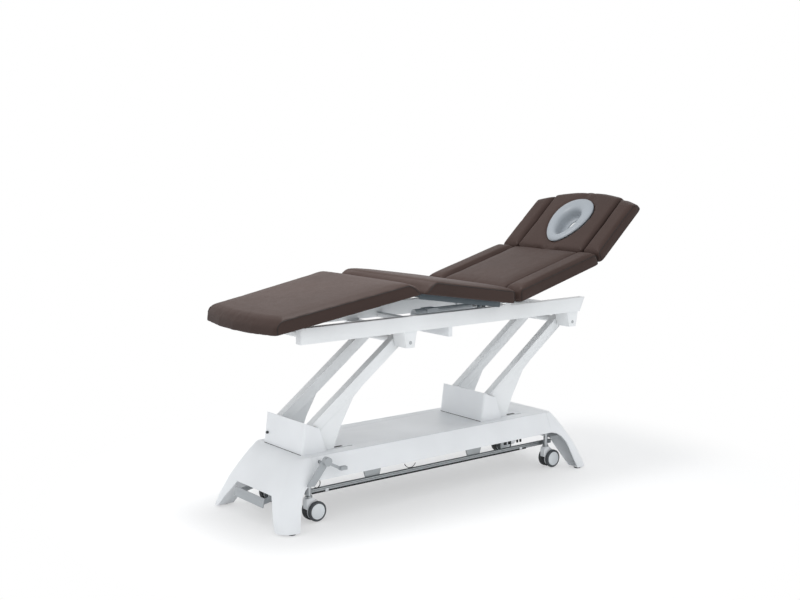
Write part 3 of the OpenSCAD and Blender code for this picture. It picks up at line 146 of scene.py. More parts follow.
def upholstery_leather(name, colour):
    """Artificial leather on foam: satin and fine-grained, with slow changes of tone and faint creases."""
    material, tree = new_material(name)
    place = add_node(tree, "ShaderNodeTexCoord", {})
    tone = add_node(tree, "ShaderNodeTexNoise", {"Scale": 4.0, "Detail": 3.0}, [("Vector", place, "Object")])
    # Grain cells of 0.8 mm on the real leather, drawn at 2 mm so that they show
    grain = add_node(tree, "ShaderNodeTexVoronoi", {"Scale": 520.0, "Randomness": 1.0},
                     [("Vector", place, "Object")])
    pores = add_node(tree, "ShaderNodeTexNoise", {"Scale": 900.0, "Detail": 2.0},
                     [("Vector", place, "Object")])
    creases = add_node(tree, "ShaderNodeTexNoise", {"Scale": 26.0, "Detail": 4.0, "Distortion": 1.2},
                       [("Vector", place, "Object")])
    colour_ramp = two_tone(tree, tone, colour, 0.93, 1.07)
    rough = add_node(tree, "ShaderNodeMapRange", {"To Min": 0.42, "To Max": 0.56}, [("Value", creases, 0)])
    soft = add_node(tree, "ShaderNodeBump", {"Strength": 0.10, "Distance": 3 * MM}, [("Height", creases, 0)])
    cells = add_node(tree, "ShaderNodeBump", {"Strength": 0.32, "Distance": 0.5 * MM, "invert": True},
                     [("Height", grain, "Distance"), ("Normal", soft, "Normal")])
    fine = add_node(tree, "ShaderNodeBump", {"Strength": 0.12, "Distance": 0.3 * MM},
                    [("Height", pores, 0), ("Normal", cells, "Normal")])
    finish_surface(tree, {"IOR": 1.46, "Specular IOR Level": 0.12},
                   [("Base Color", colour_ramp, "Color"), ("Roughness", rough, "Result"),
                    ("Normal", fine, "Normal")])
    return material


def coated(name, colour, roughness, grain_mm, strength, metallic=0.0, coat=0.0, spread=0.03):
    """Paint or moulded plastic: an even colour, a slight change of gloss and a skin with a fine pebble."""
    material, tree = new_material(name)
    place = add_node(tree, "ShaderNodeTexCoord", {})
    tone = add_node(tree, "ShaderNodeTexNoise", {"Scale": 5.0, "Detail": 2.0}, [("Vector", place, "Object")])
    skin = add_node(tree, "ShaderNodeTexNoise", {"Scale": 1 / (grain_mm * MM), "Detail": 2.0},
                    [("Vector", place, "Object")])
    colour_ramp = two_tone(tree, tone, colour, 1 - spread, 1 + spread)
    rough = add_node(tree, "ShaderNodeMapRange", {"To Min": roughness - 0.05, "To Max": roughness + 0.05},
                     [("Value", tone, 0)])
    bump = add_node(tree, "ShaderNodeBump", {"Strength": strength, "Distance": 0.3 * MM},
                    [("Height", skin, 0)])
    finish_surface(tree, {"Metallic": metallic, "Coat Weight": coat, "Coat Roughness": 0.2},
                   [("Base Color", colour_ramp, "Color"), ("Roughness", rough, "Result"),
                    ("Normal", bump, "Normal")])
    return material


def brushed(name, colour, roughness, along=(1, 0, 0), line_mm=0.6):
    """Bare metal with brushing or drawing lines that run along one axis."""
    material, tree = new_material(name)
    place = add_node(tree, "ShaderNodeTexCoord", {})
    stretch = [(0.02 if axis else 1.0) / (line_mm * MM) for axis in along]
    mapping = add_node(tree, "ShaderNodeMapping", {"Scale": stretch}, [("Vector", place, "Object")])
    lines = add_node(tree, "ShaderNodeTexNoise", {"Scale": 1.0, "Detail": 3.0},
                     [("Vector", mapping, "Vector")])
    smear = add_node(tree, "ShaderNodeTexNoise", {"Scale": 14.0, "Detail": 3.0},
                     [("Vector", place, "Object")])
    colour_ramp = two_tone(tree, lines, colour, 0.9, 1.06)
    rough = add_node(tree, "ShaderNodeMapRange", {"To Min": roughness - 0.07, "To Max": roughness + 0.09},
                     [("Value", smear, 0)])
    bump = add_node(tree, "ShaderNodeBump", {"Strength": 0.12, "Distance": 0.1 * MM}, [("Height", lines, 0)])
    finish_surface(tree, {"Metallic": 1.0},
                   [("Base Color", colour_ramp, "Color"), ("Roughness", rough, "Result"),
                    ("Normal", bump, "Normal")])
    return material


MATERIALS = {}


def make_materials(looks):
    """The finishes of the record's slots, each named for the real material."""
    MATERIALS.update({
        # Polyurethane-coated fabric, satin with a fine pebble
        "brown_upholstery": upholstery_leather("artificial_leather_dark_brown", looks.leather),
        # The same fabric where it is sewn, painted darker as the shade that falls in the fold
        "seam": coated("leather_fold_painted_shade", looks.seam, 0.7, 1.0, 0.3),
        # Epoxy powder coat on steel tube, a faint orange peel of 2 mm
        "white_powder_coat": coated("powder_coated_steel_white", looks.white, 0.36, 2.0, 0.05, coat=0.15),
        # Moulded ABS with an eroded texture
        "white_cover": coated("moulded_abs_white", looks.cover, 0.42, 1.1, 0.07),
        # Powder coat inside the base; the same pale grey paints the shade of the lines along the base's top
        "frame_paint": coated("powder_coated_steel_pale_and_painted_shade", "#c9ced1", 0.45, 2.0, 0.06),
        # Silver-grey stove enamel on pressed sheet
        "grey_lacquer": coated("enamelled_sheet_silver_grey", looks.grey, 0.38, 1.6, 0.06, metallic=0.25),
        # Slate-grey powder coat on the seat's tray
        "slate_paint": coated("powder_coated_sheet_slate", "#4d5960", 0.4, 1.8, 0.06),
        # Injection-moulded nylon housings, fine-grained
        "black_plastic": coated("moulded_nylon_black", "#26282a", 0.5, 0.9, 0.15),
        # Vulcanised rubber, matt; the same black paints the shade in the tower gaps, the slots on the base's top
        # and the grooves of the foot bars
        "black_rubber": coated("vulcanised_rubber_black_and_painted_shade", "#1f2021", 0.82, 0.8, 0.25),
        # Integral-skin foam of the face insert, smooth and soft
        "silver_grey_moulding": coated("skin_foam_silver_grey", "#8f959b", 0.46, 1.4, 0.05),
        # Ground steel shafts and rods
        "bare_steel": brushed("ground_steel", "#b9bcbe", 0.3),
        "bronze": brushed("sintered_bronze", "#a8834c", 0.42, (0, 1, 0), 1.0),
        # Extruded aluminium, brushed along its length and anodised
        "anodised_aluminium": brushed("anodised_aluminium_natural", "#a9adaf", 0.4),
        # Polyurethane tread, non-marking grey
        "castor_tyre": coated("polyurethane_tread_dark_grey", "#4a4e51", 0.6, 0.8, 0.12),
        "castor_disc": coated("moulded_nylon_white", "#e4e8ea", 0.35, 1.2, 0.04),
    })


# Making pieces

# In degrees: a fold below the first counts as flat, an edge above the second is rounded, and one below the
# third is shaded smooth
FLAT_ANGLE = 1.0
SHARP_ANGLE = 30
SMOOTH_ANGLE = 35
# Distance below which two vertices are one
WELD = 0.01 * MM


def select_only(piece):
    bpy.ops.object.select_all(action="DESELECT")
    piece.select_set(True)
    bpy.context.view_layer.objects.active = piece


def new_piece(name, vertices, faces, place=Matrix()):
    """An object at the origin, with its place in its mesh."""
    mesh = bpy.data.meshes.new(name)
    mesh.from_pydata([tuple(place @ Vector(v)) for v in vertices], [], faces)
    mesh.validate()
    piece = bpy.data.objects.new(name, mesh)
    bpy.context.scene.collection.objects.link(piece)
    return piece


def settle(piece, name):
    """Names a piece made by an operator and puts its place into its mesh."""
    piece.name = name
    piece.data.name = name
    select_only(piece)
    bpy.ops.object.transform_apply(location=True, rotation=True, scale=True)
    return piece


def apply_modifier(piece, kind, **settings):
    select_only(piece)
    modifier = piece.modifiers.new(kind.title(), kind)
    for key, value in settings.items():
        setattr(modifier, key, value)
    bpy.ops.object.modifier_apply(modifier=modifier.name)


def smooth(piece, degrees=SMOOTH_ANGLE):
    select_only(piece)
    bpy.ops.object.shade_smooth_by_angle(angle=radians(degrees))


def dress(piece, body, slot, nodes=(), finish=None):
    """Gives a piece its finish, its body, its slot and the nodes that it stands for."""
    piece.data.materials.clear()
    piece.data.materials.append(MATERIALS[finish or slot])
    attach(piece, body)
    if nodes:
        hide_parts(*nodes)
    return piece


def face_outwards(piece):
    select_only(piece)
    bpy.ops.object.mode_set(mode="EDIT")
    bpy.ops.mesh.select_all(action="SELECT")
    bpy.ops.mesh.remove_doubles(threshold=WELD)
    bpy.ops.mesh.normals_make_consistent(inside=False)
    bpy.ops.object.mode_set(mode="OBJECT")


def bar(name, low, high, edge, place=BASE, taper=None):
    """A block between two corners in millimetres, its edges rounded, with its top drawn in by taper."""
    bpy.ops.object.select_all(action="DESELECT")
    middle = [(a + b) / 2 for a, b in zip(low, high)]
    bpy.ops.mesh.primitive_cube_add(size=1, location=[c * MM for c in middle])
    piece = bpy.context.object
    piece.scale = [(b - a) * MM for a, b in zip(low, high)]
    settle(piece, name)
    if taper:
        bpy.ops.object.mode_set(mode="EDIT")
        mesh = bmesh.from_edit_mesh(piece.data)
        for face in mesh.faces:
            face.select_set(face.normal.z > 0.5)
        bmesh.update_edit_mesh(piece.data)
        bpy.ops.transform.resize(value=taper, orient_type="GLOBAL")
        bpy.ops.object.mode_set(mode="OBJECT")
    apply_modifier(piece, "BEVEL", width=edge * MM, segments=3, limit_method="ANGLE",
                   angle_limit=radians(SHARP_ANGLE))
    piece.data.transform(place)
    smooth(piece)
    return piece


def lathed(name, outline, place, steps=64):
    """A closed form turned about its own Z axis from an outline of (radius, height) in millimetres."""
    piece = new_piece(name, [(r * MM, 0, z * MM) for r, z in outline], [])
    mesh = bmesh.new()
    mesh.from_mesh(piece.data)
    mesh.verts.ensure_lookup_table()
    for a, b in zip(mesh.verts[:-1], mesh.verts[1:]):
        mesh.edges.new((a, b))
    mesh.to_mesh(piece.data)
    mesh.free()
    select_only(piece)
    bpy.ops.object.mode_set(mode="EDIT")
    bpy.ops.mesh.select_all(action="SELECT")
    bpy.ops.mesh.spin(steps=steps, angle=2 * pi, center=(0, 0, 0), axis=(0, 0, 1))
    bpy.ops.mesh.select_all(action="SELECT")
    bpy.ops.mesh.remove_doubles(threshold=WELD)
    bpy.ops.mesh.normals_make_consistent(inside=False)
    bpy.ops.object.mode_set(mode="OBJECT")
    piece.data.transform(place)
    smooth(piece, 30)
    return piece


def rod(name, points, radius, place=BASE, sides=10):
    """A round wire or rod through points in millimetres, with closed ends."""
    curve = bpy.data.curves.new(name, "CURVE")
    curve.dimensions = "3D"
    curve.bevel_depth = radius * MM
    curve.bevel_resolution = max(0, sides // 4 - 1)
    curve.use_fill_caps = True
    curve.resolution_u = 6
    line = curve.splines.new("NURBS")
    line.points.add(len(points) - 1)
    for spot, p in zip(line.points, points):
        spot.co = (*(place @ (Vector(p) * MM)), 1)
    line.use_endpoint_u = True
    line.order_u = min(4, len(points))
    piece = bpy.data.objects.new(name, curve)
    bpy.context.scene.collection.objects.link(piece)
    select_only(piece)
    bpy.ops.object.convert(target="MESH")
    piece = bpy.context.object
    piece.name = name
    smooth(piece, 60)
    return piece


def joined(name, pieces):
    """Pieces that are made as one object."""
    bpy.ops.object.select_all(action="DESELECT")
    for piece in pieces:
        piece.select_set(True)
    bpy.context.view_layer.objects.active = pieces[0]
    bpy.ops.object.join()
    pieces[0].name = name
    pieces[0].data.name = name
    return pieces[0]


def mirrored(piece):
    """A copy on the other side of the table, with its own mesh."""
    twin = piece.copy()
    twin.data = piece.data.copy()
    bpy.context.scene.collection.objects.link(twin)
    twin.data.transform(Matrix.Scale(-1, 4, (0, 1, 0)))
    twin.data.flip_normals()
    return twin


def softened(node, edge, rounds=(), finish=None):
    """A copy of a rigid node with its sharp edges rounded, standing for it.

    Each of the rounds is a radius in millimetres and a test that picks the edges which get it, by the middle
    of an edge in the base's frame and by its direction.
    """
    piece = bpy.data.objects.new(node + "_finished", frame["nodes"][node].data.copy())
    bpy.context.scene.collection.objects.link(piece)
    select_only(piece)
    bpy.ops.object.mode_set(mode="EDIT")
    bpy.ops.mesh.select_all(action="SELECT")
    bpy.ops.mesh.remove_doubles(threshold=2 * WELD)
    bpy.ops.mesh.dissolve_limited(angle_limit=radians(FLAT_ANGLE))
    for radius, test in rounds:
        mesh = bmesh.from_edit_mesh(piece.data)
        for face in mesh.faces:
            face.select_set(False)
        for e in mesh.edges:
            a, b = (BASE.inverted() @ v.co / MM for v in e.verts)
            e.select_set(test((a + b) / 2, b - a))
        bmesh.update_edit_mesh(piece.data)
        bpy.ops.mesh.bevel(offset=radius * MM, segments=6, affect="EDGES", clamp_overlap=True)
        bpy.ops.mesh.select_all(action="DESELECT")
    bpy.ops.object.mode_set(mode="OBJECT")
    apply_modifier(piece, "BEVEL", width=edge * MM, segments=3, limit_method="ANGLE",
                   angle_limit=radians(SHARP_ANGLE), use_clamp_overlap=True, miter_outer="MITER_ARC")
    smooth(piece)
    return dress(piece, body_of(node), slot_of(node), [node], finish)


# Padded sections

COUCH_W = 656.0
SIDE_H = 55.0
# The cover is held on its board up to this height, and is free this much higher
HELD_H = 4.0
FREE_H = 16.0
# Frames in which the air blows a cover up
BLOW_FRAMES = 20
# How far a side seam stays in from the ends and from the top edge, and the radius of its corners
SEAM_INSET = 5
SEAM_DROP = 2
SEAM_RADIUS = 16
# Steps between the points of a seam, up the ends and along the side
SEAM_RISE = 6
SEAM_RUN = 12
# Depth of the strip along each side that a seam draws in
SEAM_BAND = 12

Cushion = namedtuple(
    "Cushion", "place body floor ends slants bulges strips end_radii side_radius crown taper grow")
WHOLE = [(-328, 328)]
CENTRE = [(-217, 217)]
BOLSTERS = [(-328, -220), (220, 328)]

# The sizes of the padded solids in millimetres, each in its own section's frame: the height of its underside,
# its two ends, how far these lean in and bow, its strips across the table, the radii with which the ends and
# the outer sides turn into the top, its crown, how much it narrows and how much longer its cover is than it
CUSHIONS = {
    "leg_cushion": Cushion(LEG, "leg", 10, (-722, -4), (7, 50), (34, 0), WHOLE, (52, 24), 6, 13, 56, 5),
    "seat_cushion": Cushion(SEAT, "seat", -37, (-521, -7), (36, 9), (0, 0), WHOLE, (26, 12), 8, 13, 0, 0),
    "back_cushion": Cushion(BACK, "back", -37, (7, 527), (9, 12), (0, 0), CENTRE, (16, 22), 16, 13, 0, 0),
    "back_bolsters": Cushion(BACK, "back", -37, (7, 527), (9, 12), (0, 0), BOLSTERS, (22, 30), 14, 13, 0, 0),
    "head_cushion": Cushion(HEAD, "head", 10, (8, 426), (12, 12), (0, 64), CENTRE, (18, 26), 16, 5, 0, 0),
    "head_bolsters": Cushion(HEAD, "head", 10, (8, 426), (12, 12), (0, 64), BOLSTERS, (22, 34), 26, 5, 0, 0),
}


def narrowing(spec, x):
    """The share of its full width that a cushion has at x."""
    start, stop = spec.ends
    return 1 - 2 * spec.taper / COUCH_W * (stop - x) / (stop - start)


def cushion_ends(spec, y, height):
    """Where a cushion's two ends lie, at a distance y from the middle and a height above its underside."""
    share = max(0.0, min(1.0, height / SIDE_H))
    bow = (2 * y / COUCH_W) ** 2
    return (spec.ends[0] + spec.slants[0] * share + spec.bulges[0] * bow,
            spec.ends[1] - spec.slants[1] * share - spec.bulges[1] * bow)


def rounded_pair(u, w, r):
    """Moves a point at depths u and w below two faces onto a rounding of radius r between them."""
    if u >= r or w >= r:
        return u, w
    reach = hypot(r - u, r - w)
    if reach <= r:
        return u, w
    return r - (r - u) * r / reach, r - (r - w) * r / reach


def round_cushion(mesh, spec, looks):
    """Rounds the top edges at the ends and along the sides of a cushion."""
    top = SIDE_H + spec.crown * 0.5
    for v in mesh.vertices:
        x, y, z = (c / MM for c in v.co)
        y /= narrowing(spec, x)
        height = z - spec.floor
        side = min(spec.strips, key=lambda s: max(s[0] - y, y - s[1]))
        start, stop = cushion_ends(spec, y, height)
        at_start = x - start < stop - x
        u = max(x - start if at_start else stop - x, 0)
        depth = max(top - height, 0)
        u2, depth2 = rounded_pair(u, depth, spec.end_radii[0 if at_start else 1])
        x += (u2 - u) * (1 if at_start else -1)
        height -= depth2 - depth
        low = y - side[0] < side[1] - y
        outer = abs(side[0] if low else side[1]) > COUCH_W / 2 - 1
        inwards = max(y - side[0] if low else side[1] - y, 0)
        depth = max(top - height, 0)
        radius = spec.side_radius if outer else looks.channel_radius / MM
        inwards2, depth2 = rounded_pair(inwards, depth, radius)
        y += (inwards2 - inwards) * (1 if low else -1)
        height -= depth2 - depth
        v.co = (x * MM, y * narrowing(spec, x) * MM, (height + spec.floor) * MM)


def inflate(piece, floor, cap):
    """Blows the cushion's cover up with a short cloth simulation, and keeps its underside on its board."""
    scene = bpy.context.scene
    rest = [v.co.copy() for v in piece.data.vertices]
    cloth = piece.modifiers.new("Cloth", "CLOTH")
    settings = cloth.settings
    settings.quality = 4
    settings.mass = 0.3
    settings.tension_stiffness = 14
    settings.compression_stiffness = 14
    settings.shear_stiffness = 6
    settings.bending_stiffness = 1.0
    settings.use_pressure = True
    settings.uniform_pressure_force = 4.0
    settings.effector_weights.gravity = 0.0
    cloth.point_cache.frame_start = 1
    cloth.point_cache.frame_end = BLOW_FRAMES
    for step in range(1, BLOW_FRAMES + 1):
        scene.frame_set(step)
    moved = piece.evaluated_get(bpy.context.evaluated_depsgraph_get()).to_mesh()
    places = [v.co.copy() for v in moved.vertices]
    piece.modifiers.remove(cloth)
    scene.frame_set(1)
    for v, old, new in zip(piece.data.vertices, rest, places):
        move = new - old
        if move.length > cap:
            move *= cap / move.length
        v.co = old + move * max(0.0, min(1.0, (old.z / MM - floor - HELD_H) / FREE_H))
    piece.data.update()


def extent(mesh):
    """The least and greatest corner of a mesh."""
    return [Vector([pick(v.co[k] for v in mesh.vertices) for k in range(3)]) for pick in (min, max)]


def stretch_to(mesh, low, high):
    """Gives a mesh back the length and width that smoothing took from it."""
    first, last = extent(mesh)
    for v in mesh.vertices:
        for k in (0, 1):
            share = (v.co[k] - first[k]) / (last[k] - first[k])
            v.co[k] = low[k] + (high[k] - low[k]) * share


def seam_path(spec, side):
    """Points of a side seam: up one end, along under the top edge and down the other end."""
    y = side * COUCH_W / 2
    top = SIDE_H - SEAM_DROP
    rise = [(0, h) for h in range(int(HELD_H), int(top - SEAM_RADIUS), SEAM_RISE)]
    for k in range(7):
        turn = pi / 12 * k
        rise.append((SEAM_RADIUS - SEAM_RADIUS * cos(turn), top - SEAM_RADIUS + SEAM_RADIUS * sin(turn)))
    first = [(cushion_ends(spec, y, h)[0] + SEAM_INSET + u, h) for u, h in rise]
    last = [(cushion_ends(spec, y, h)[1] - SEAM_INSET - u, h) for u, h in reversed(rise)]
    a, b = first[-1], last[0]
    steps = max(2, int((b[0] - a[0]) / SEAM_RUN))
    middle = [(a[0] + (b[0] - a[0]) * k / steps, a[1]) for k in range(1, steps)]
    return [Vector((x, y * narrowing(spec, x), h + spec.floor)) * MM for x, h in first + middle + last]


def sew(piece, spec, looks):
    """Sinks a seam into both outer sides of a cushion and returns the sewn folds that lie in it."""
    mesh = piece.data
    tree = BVHTree.FromPolygons([v.co for v in mesh.vertices], [p.vertices for p in mesh.polygons])
    folds = []
    for side in (-1, 1):
        path = [tree.find_nearest(p)[0] for p in seam_path(spec, side)]
        edge = COUCH_W / 2 * MM
        for v in mesh.vertices:
            if abs(v.co.y / narrowing(spec, v.co.x / MM) - side * edge) < SEAM_BAND * MM:
                near = min((v.co - p).length for p in path)
                depth = max(0.0, 1 - near / looks.seam_reach)
                v.co.y -= side * looks.seam_depth * depth * depth
        sunk = [(p - Vector((0, side * looks.seam_depth * looks.seam_sunk, 0))) / MM for p in path]
        folds.append(rod(piece.name + "_seam", sunk, looks.seam_width / MM / 2, Matrix(), 8))
    return folds


class TABLE_PG_looks(bpy.types.PropertyGroup):
    """Sizes and colours of the table's finishes."""
    leather: bpy.props.StringProperty(name="Leather", description="Colour of the upholstery",
                                      default="#413430")
    # The seams' colour is the leather's, darkened as painted shade in the sewn folds
    seam: bpy.props.StringProperty(name="Seams", description="Colour in the sewn folds", default="#1d1614")
    white: bpy.props.StringProperty(name="White paint", description="Colour of the frame and arms",
                                    default="#edeff0")
    cover: bpy.props.StringProperty(name="White covers", description="Colour of the moulded covers",
                                    default="#eceef0")
    grey: bpy.props.StringProperty(name="Grey enamel", description="Colour of the pedals", default="#a6aaad")
    channel_radius: bpy.props.FloatProperty(name="Channel rounding", unit="LENGTH", default=20 * MM,
                                            description="Rounding beside the channels of the bolsters")
    voxel: bpy.props.FloatProperty(name="Cover mesh", unit="LENGTH", default=7 * MM,
                                   description="Mesh size of a cushion's cover before it is blown up")
    swell: bpy.props.FloatProperty(name="Swell", unit="LENGTH", default=4 * MM,
                                   description="Most that a cushion's cover may move outwards")
    seam_width: bpy.props.FloatProperty(name="Seam width", unit="LENGTH", default=3.4 * MM,
                                        description="Width of the fold in a seam")
    seam_depth: bpy.props.FloatProperty(name="Seam depth", unit="LENGTH", default=1.6 * MM,
                                        description="Depth of a seam below the cushion's side")
    seam_sunk: bpy.props.FloatProperty(name="Fold in seam", default=0.3,
                                       description="Share of the seam's depth at which the fold lies")
    seam_reach: bpy.props.FloatProperty(name="Seam reach", unit="LENGTH", default=6 * MM,
                                        description="How far from a seam the cover is drawn in")


class TABLE_PG_stage(bpy.types.PropertyGroup):
    """Colours and light of the stage."""
    floor: bpy.props.StringProperty(name="Floor", description="Colour of the floor", default="#fbfbfb")
    key: bpy.props.FloatProperty(name="Key light", default=34.0,
                                 description="Power of the lamp over the leg section")
    fill: bpy.props.FloatProperty(name="Fill light", default=3.0,
                                  description="Power of the low lamp at the foot end")
    sky: bpy.props.FloatProperty(name="Room light", default=0.92,
                                 description="Strength of the light from all round")
    fade_start: bpy.props.FloatProperty(name="Fade start", unit="LENGTH", default=1.15,
                                        description="Distance at which the floor begins to fade")
    fade_end: bpy.props.FloatProperty(name="Fade end", unit="LENGTH", default=1.75,
                                      description="Distance at which the floor is white")
    veil: bpy.props.FloatProperty(name="Floor veil", default=0.45,
                                  description="Share of white that the camera sees on the floor by the table")


class PieceOperator:
    """What the operators of this file share."""
    bl_options = {"REGISTER"}

    @property
    def looks(self):
        return bpy.context.scene.table_looks


class TABLE_OT_finishes(PieceOperator, bpy.types.Operator):
    """Makes the materials and puts them on every node of the frame"""
    bl_idname = "table.finishes"
    bl_label = "Finishes"

    def execute(self, context):
        make_materials(self.looks)
        for node, obj in frame["nodes"].items():
            obj.data.materials.clear()
            obj.data.materials.append(MATERIALS[slot_of(node)])
        return {"FINISHED"}


class TABLE_OT_cushions(PieceOperator, bpy.types.Operator):
    """Makes the upholstered sections in place of their plain solids"""
    bl_idname = "table.cushions"
    bl_label = "Cushions"

    def execute(self, context):
        looks = self.looks
        for node, spec in CUSHIONS.items():
            name = node.replace("cushion", "pad").replace("bolsters", "side_pads")
            piece = bpy.data.objects.new(name, frame["nodes"][node].data.copy())
            context.scene.collection.objects.link(piece)
            piece.data.transform(spec.place.inverted())
            face_outwards(piece)
            low, high = extent(piece.data)
            apply_modifier(piece, "REMESH", mode="VOXEL", voxel_size=looks.voxel, adaptivity=0)
            stretch_to(piece.data, low, high)
            round_cushion(piece.data, spec, looks)
            low, high = extent(piece.data)
            inflate(piece, spec.floor, looks.swell)
            apply_modifier(piece, "SMOOTH", factor=0.4, iterations=1)
            apply_modifier(piece, "SUBSURF", levels=1, render_levels=1)
            grow = Vector((spec.grow * MM, 0, 0))
            stretch_to(piece.data, low, high + grow)
            folds = sew(piece, spec, looks) if spec.strips != CENTRE else []
            piece.data.transform(spec.place)
            smooth(piece, 60)
            dress(piece, spec.body, "brown_upholstery", [node])
            if folds:
                seam = joined(name + "_seams", folds)
                seam.data.transform(spec.place)
                dress(seam, spec.body, "brown_upholstery", finish="seam")
        return {"FINISHED"}


# Where the middle of the face insert lies from the head's hinge, its outline, and its wall, in millimetres
FACE_AT = 208.0
FACE_LEN = 280.0
FACE_W = 221.0
FACE_WALL = 60.0
# How far the bowl lies from the middle of the insert, towards the hinge
BOWL_BACK = 10.0
# How far in from the insert's outline, and how high above the cushion's underside, each ring lies
FACE_RINGS = [
    (0.6, 0), (0.6, 57), (-4.0, 58), (-5.6, 60.5), (-4.8, 63.5), (-1, 67), (6, 70), (16, 72), (27, 72.3),
    (37, 70.5), (45, 67), (51, 61.5), (55.5, 54), (58, 45), (60, 34), (62, 23), (65.5, 15), (71, 11),
    (75, 9.4), (77.5, 8), (78, 5), (77.5, 2), (76, 0),
]
FACE_STEPS = 72


# How much wider than an ellipse the insert is towards its top
EGG_SHARE = 0.2


def egg(length, width):
    turn = [2 * pi * k / FACE_STEPS for k in range(FACE_STEPS)]
    return [(length / 2 * cos(a), width / 2 * sin(a) * (1 + EGG_SHARE * cos(a))) for a in turn]


class TABLE_OT_face_insert(PieceOperator, bpy.types.Operator):
    """Makes the padded ring of the face opening"""
    bl_idname = "table.face_insert"
    bl_label = "Face insert"

    def execute(self, context):
        points, faces = [], []
        floor = CUSHIONS["head_cushion"].floor
        for inset, height in FACE_RINGS:
            middle = FACE_AT - BOWL_BACK * min(1.0, max(0.0, inset / FACE_WALL))
            for x, y in egg(FACE_LEN - 2 * inset, FACE_W - 2 * inset):
                points.append(((middle + x) * MM, y * MM, (floor + height) * MM))
        n, rings = FACE_STEPS, len(FACE_RINGS)
        for k in range(rings):
            for i in range(n):
                j, m = (i + 1) % n, (k + 1) % rings
                faces.append((k * n + i, k * n + j, m * n + j, m * n + i))
        piece = new_piece("face_ring", points, faces, HEAD)
        face_outwards(piece)
        apply_modifier(piece, "SUBSURF", levels=1, render_levels=1)
        smooth(piece, 60)
        dress(piece, "head", "silver_grey_moulding", ["face_insert"])
        return {"FINISHED"}


# Rigid nodes whose pressed, moulded or welded edges are round, with the radius in millimetres
ROUNDED_NODES = {
    "near_rail": 4.0, "far_rail": 4.0, "rail_end_caps": 1.2, "frame_cross_members": 2.0, "arm_lugs": 2.0,
    "foot_lift_arms": 1.5, "head_lift_arms": 1.5, "base_cover": 3.0, "foot_end_shell": 3.5,
    "head_end_shell": 3.5, "foot_tower_cover": 1.0, "head_tower_cover": 1.0, "junction_box": 3.0,
    "castor_pedal": 1.2, "side_lever": 2.0, "near_foot_bar": 1.5, "far_foot_bar": 1.5, "control_unit": 3.0,
    "seat_frame": 0.9, "back_frame": 0.9, "leg_frame": 1.5, "head_frame": 1.5, "lift_motor": 2.0,
    "seat_motor": 2.0, "back_motor": 2.0,
}


# An edge runs along an axis when this share of its length does, and is long from these lengths on
ALONG = 0.9
TOWER_EDGE = 60
ARM_EDGE = 420
# The outer faces of a tower cover lie beyond the first, and its top edge above the second
TOWER_SIDE_Y = 146.5
TOWER_BROW_Z = 398
# The foot sides of the towers lie before the first and between the other two
FOOT_TOWER_X = -650
HEAD_TOWER_X = (270, 320)


def tower_corner(middle, way):
    """The upright edges of a tower cover on its foot side."""
    at_foot_side = middle.x < FOOT_TOWER_X or HEAD_TOWER_X[0] < middle.x < HEAD_TOWER_X[1]
    return abs(way.z) > ALONG * way.length > TOWER_EDGE and abs(middle.y) > TOWER_SIDE_Y and at_foot_side


def tower_brow(middle, way):
    """The top edge of a tower cover on its foot side."""
    return abs(way.y) > ALONG * way.length > TOWER_EDGE and middle.z > TOWER_BROW_Z


def arm_edge(middle, way):
    """The long edges of a lifting arm."""
    return way.length > ARM_EDGE


TOWER_ROUNDS = [(11.0, tower_corner), (5.0, tower_brow)]
ARM_ROUNDS = [(8.0, arm_edge)]
ROUNDS = {"foot_tower_cover": TOWER_ROUNDS, "head_tower_cover": TOWER_ROUNDS, "foot_lift_arms": ARM_ROUNDS,
          "head_lift_arms": ARM_ROUNDS}
# Nodes whose finish isn't that of their slot
FINISHES = {"seat_motor": "frame_paint"}


class TABLE_OT_metalwork(PieceOperator, bpy.types.Operator):
    """Rounds the edges of the frame, the arms, the covers and the motors"""
    bl_idname = "table.metalwork"
    bl_label = "Frame, arms and covers"

    def execute(self, context):
        for node, edge in ROUNDED_NODES.items():
            softened(node, edge, ROUNDS.get(node, ()), FINISHES.get(node))
        return {"FINISHED"}


# Distance between the middles of a castor's two wheels, and the height of its stem's collar
WHEEL_PITCH = 46.0
COLLAR_Z = 101
# Outlines of (radius, distance along the axle from the middle of one wheel)
TYRE = [(31, -8.5), (36, -8.5), (39.5, -7.6), (41.4, -5), (42, -1.5), (42, 1.5), (41.4, 5), (39.5, 7.6),
        (36, 8.5), (34.6, 8.5), (33.8, 7.2), (31, 7.2), (31, -8.5)]
DISC = [(0, -8), (32.6, -8), (32.6, 7), (32, 8.2), (29.5, 8.9), (20, 10.0), (8, 10.6), (0, 10.7)]
AXLE = [(0, -15), (5, -15), (5, 15), (0, 15)]
# Outline of (radius, height above the collar's underside)
COLLAR = [(10.2, 0), (13.5, 0), (14.5, 1), (14.5, 6), (13.5, 7.2), (10.2, 7.2), (10.2, 0)]
# The fender's outer and inner edge, from the axle
FENDER_OUTER = [(-46, 12), (-49, 2), (-48, -10), (-43, -22), (-34, -31), (-24, -35)]
FENDER_INNER = [(-21, -31), (-30, -26), (-38, -18), (-42, -8), (-43, 1), (-41, 10)]
FENDER_HALF_W = 13.6


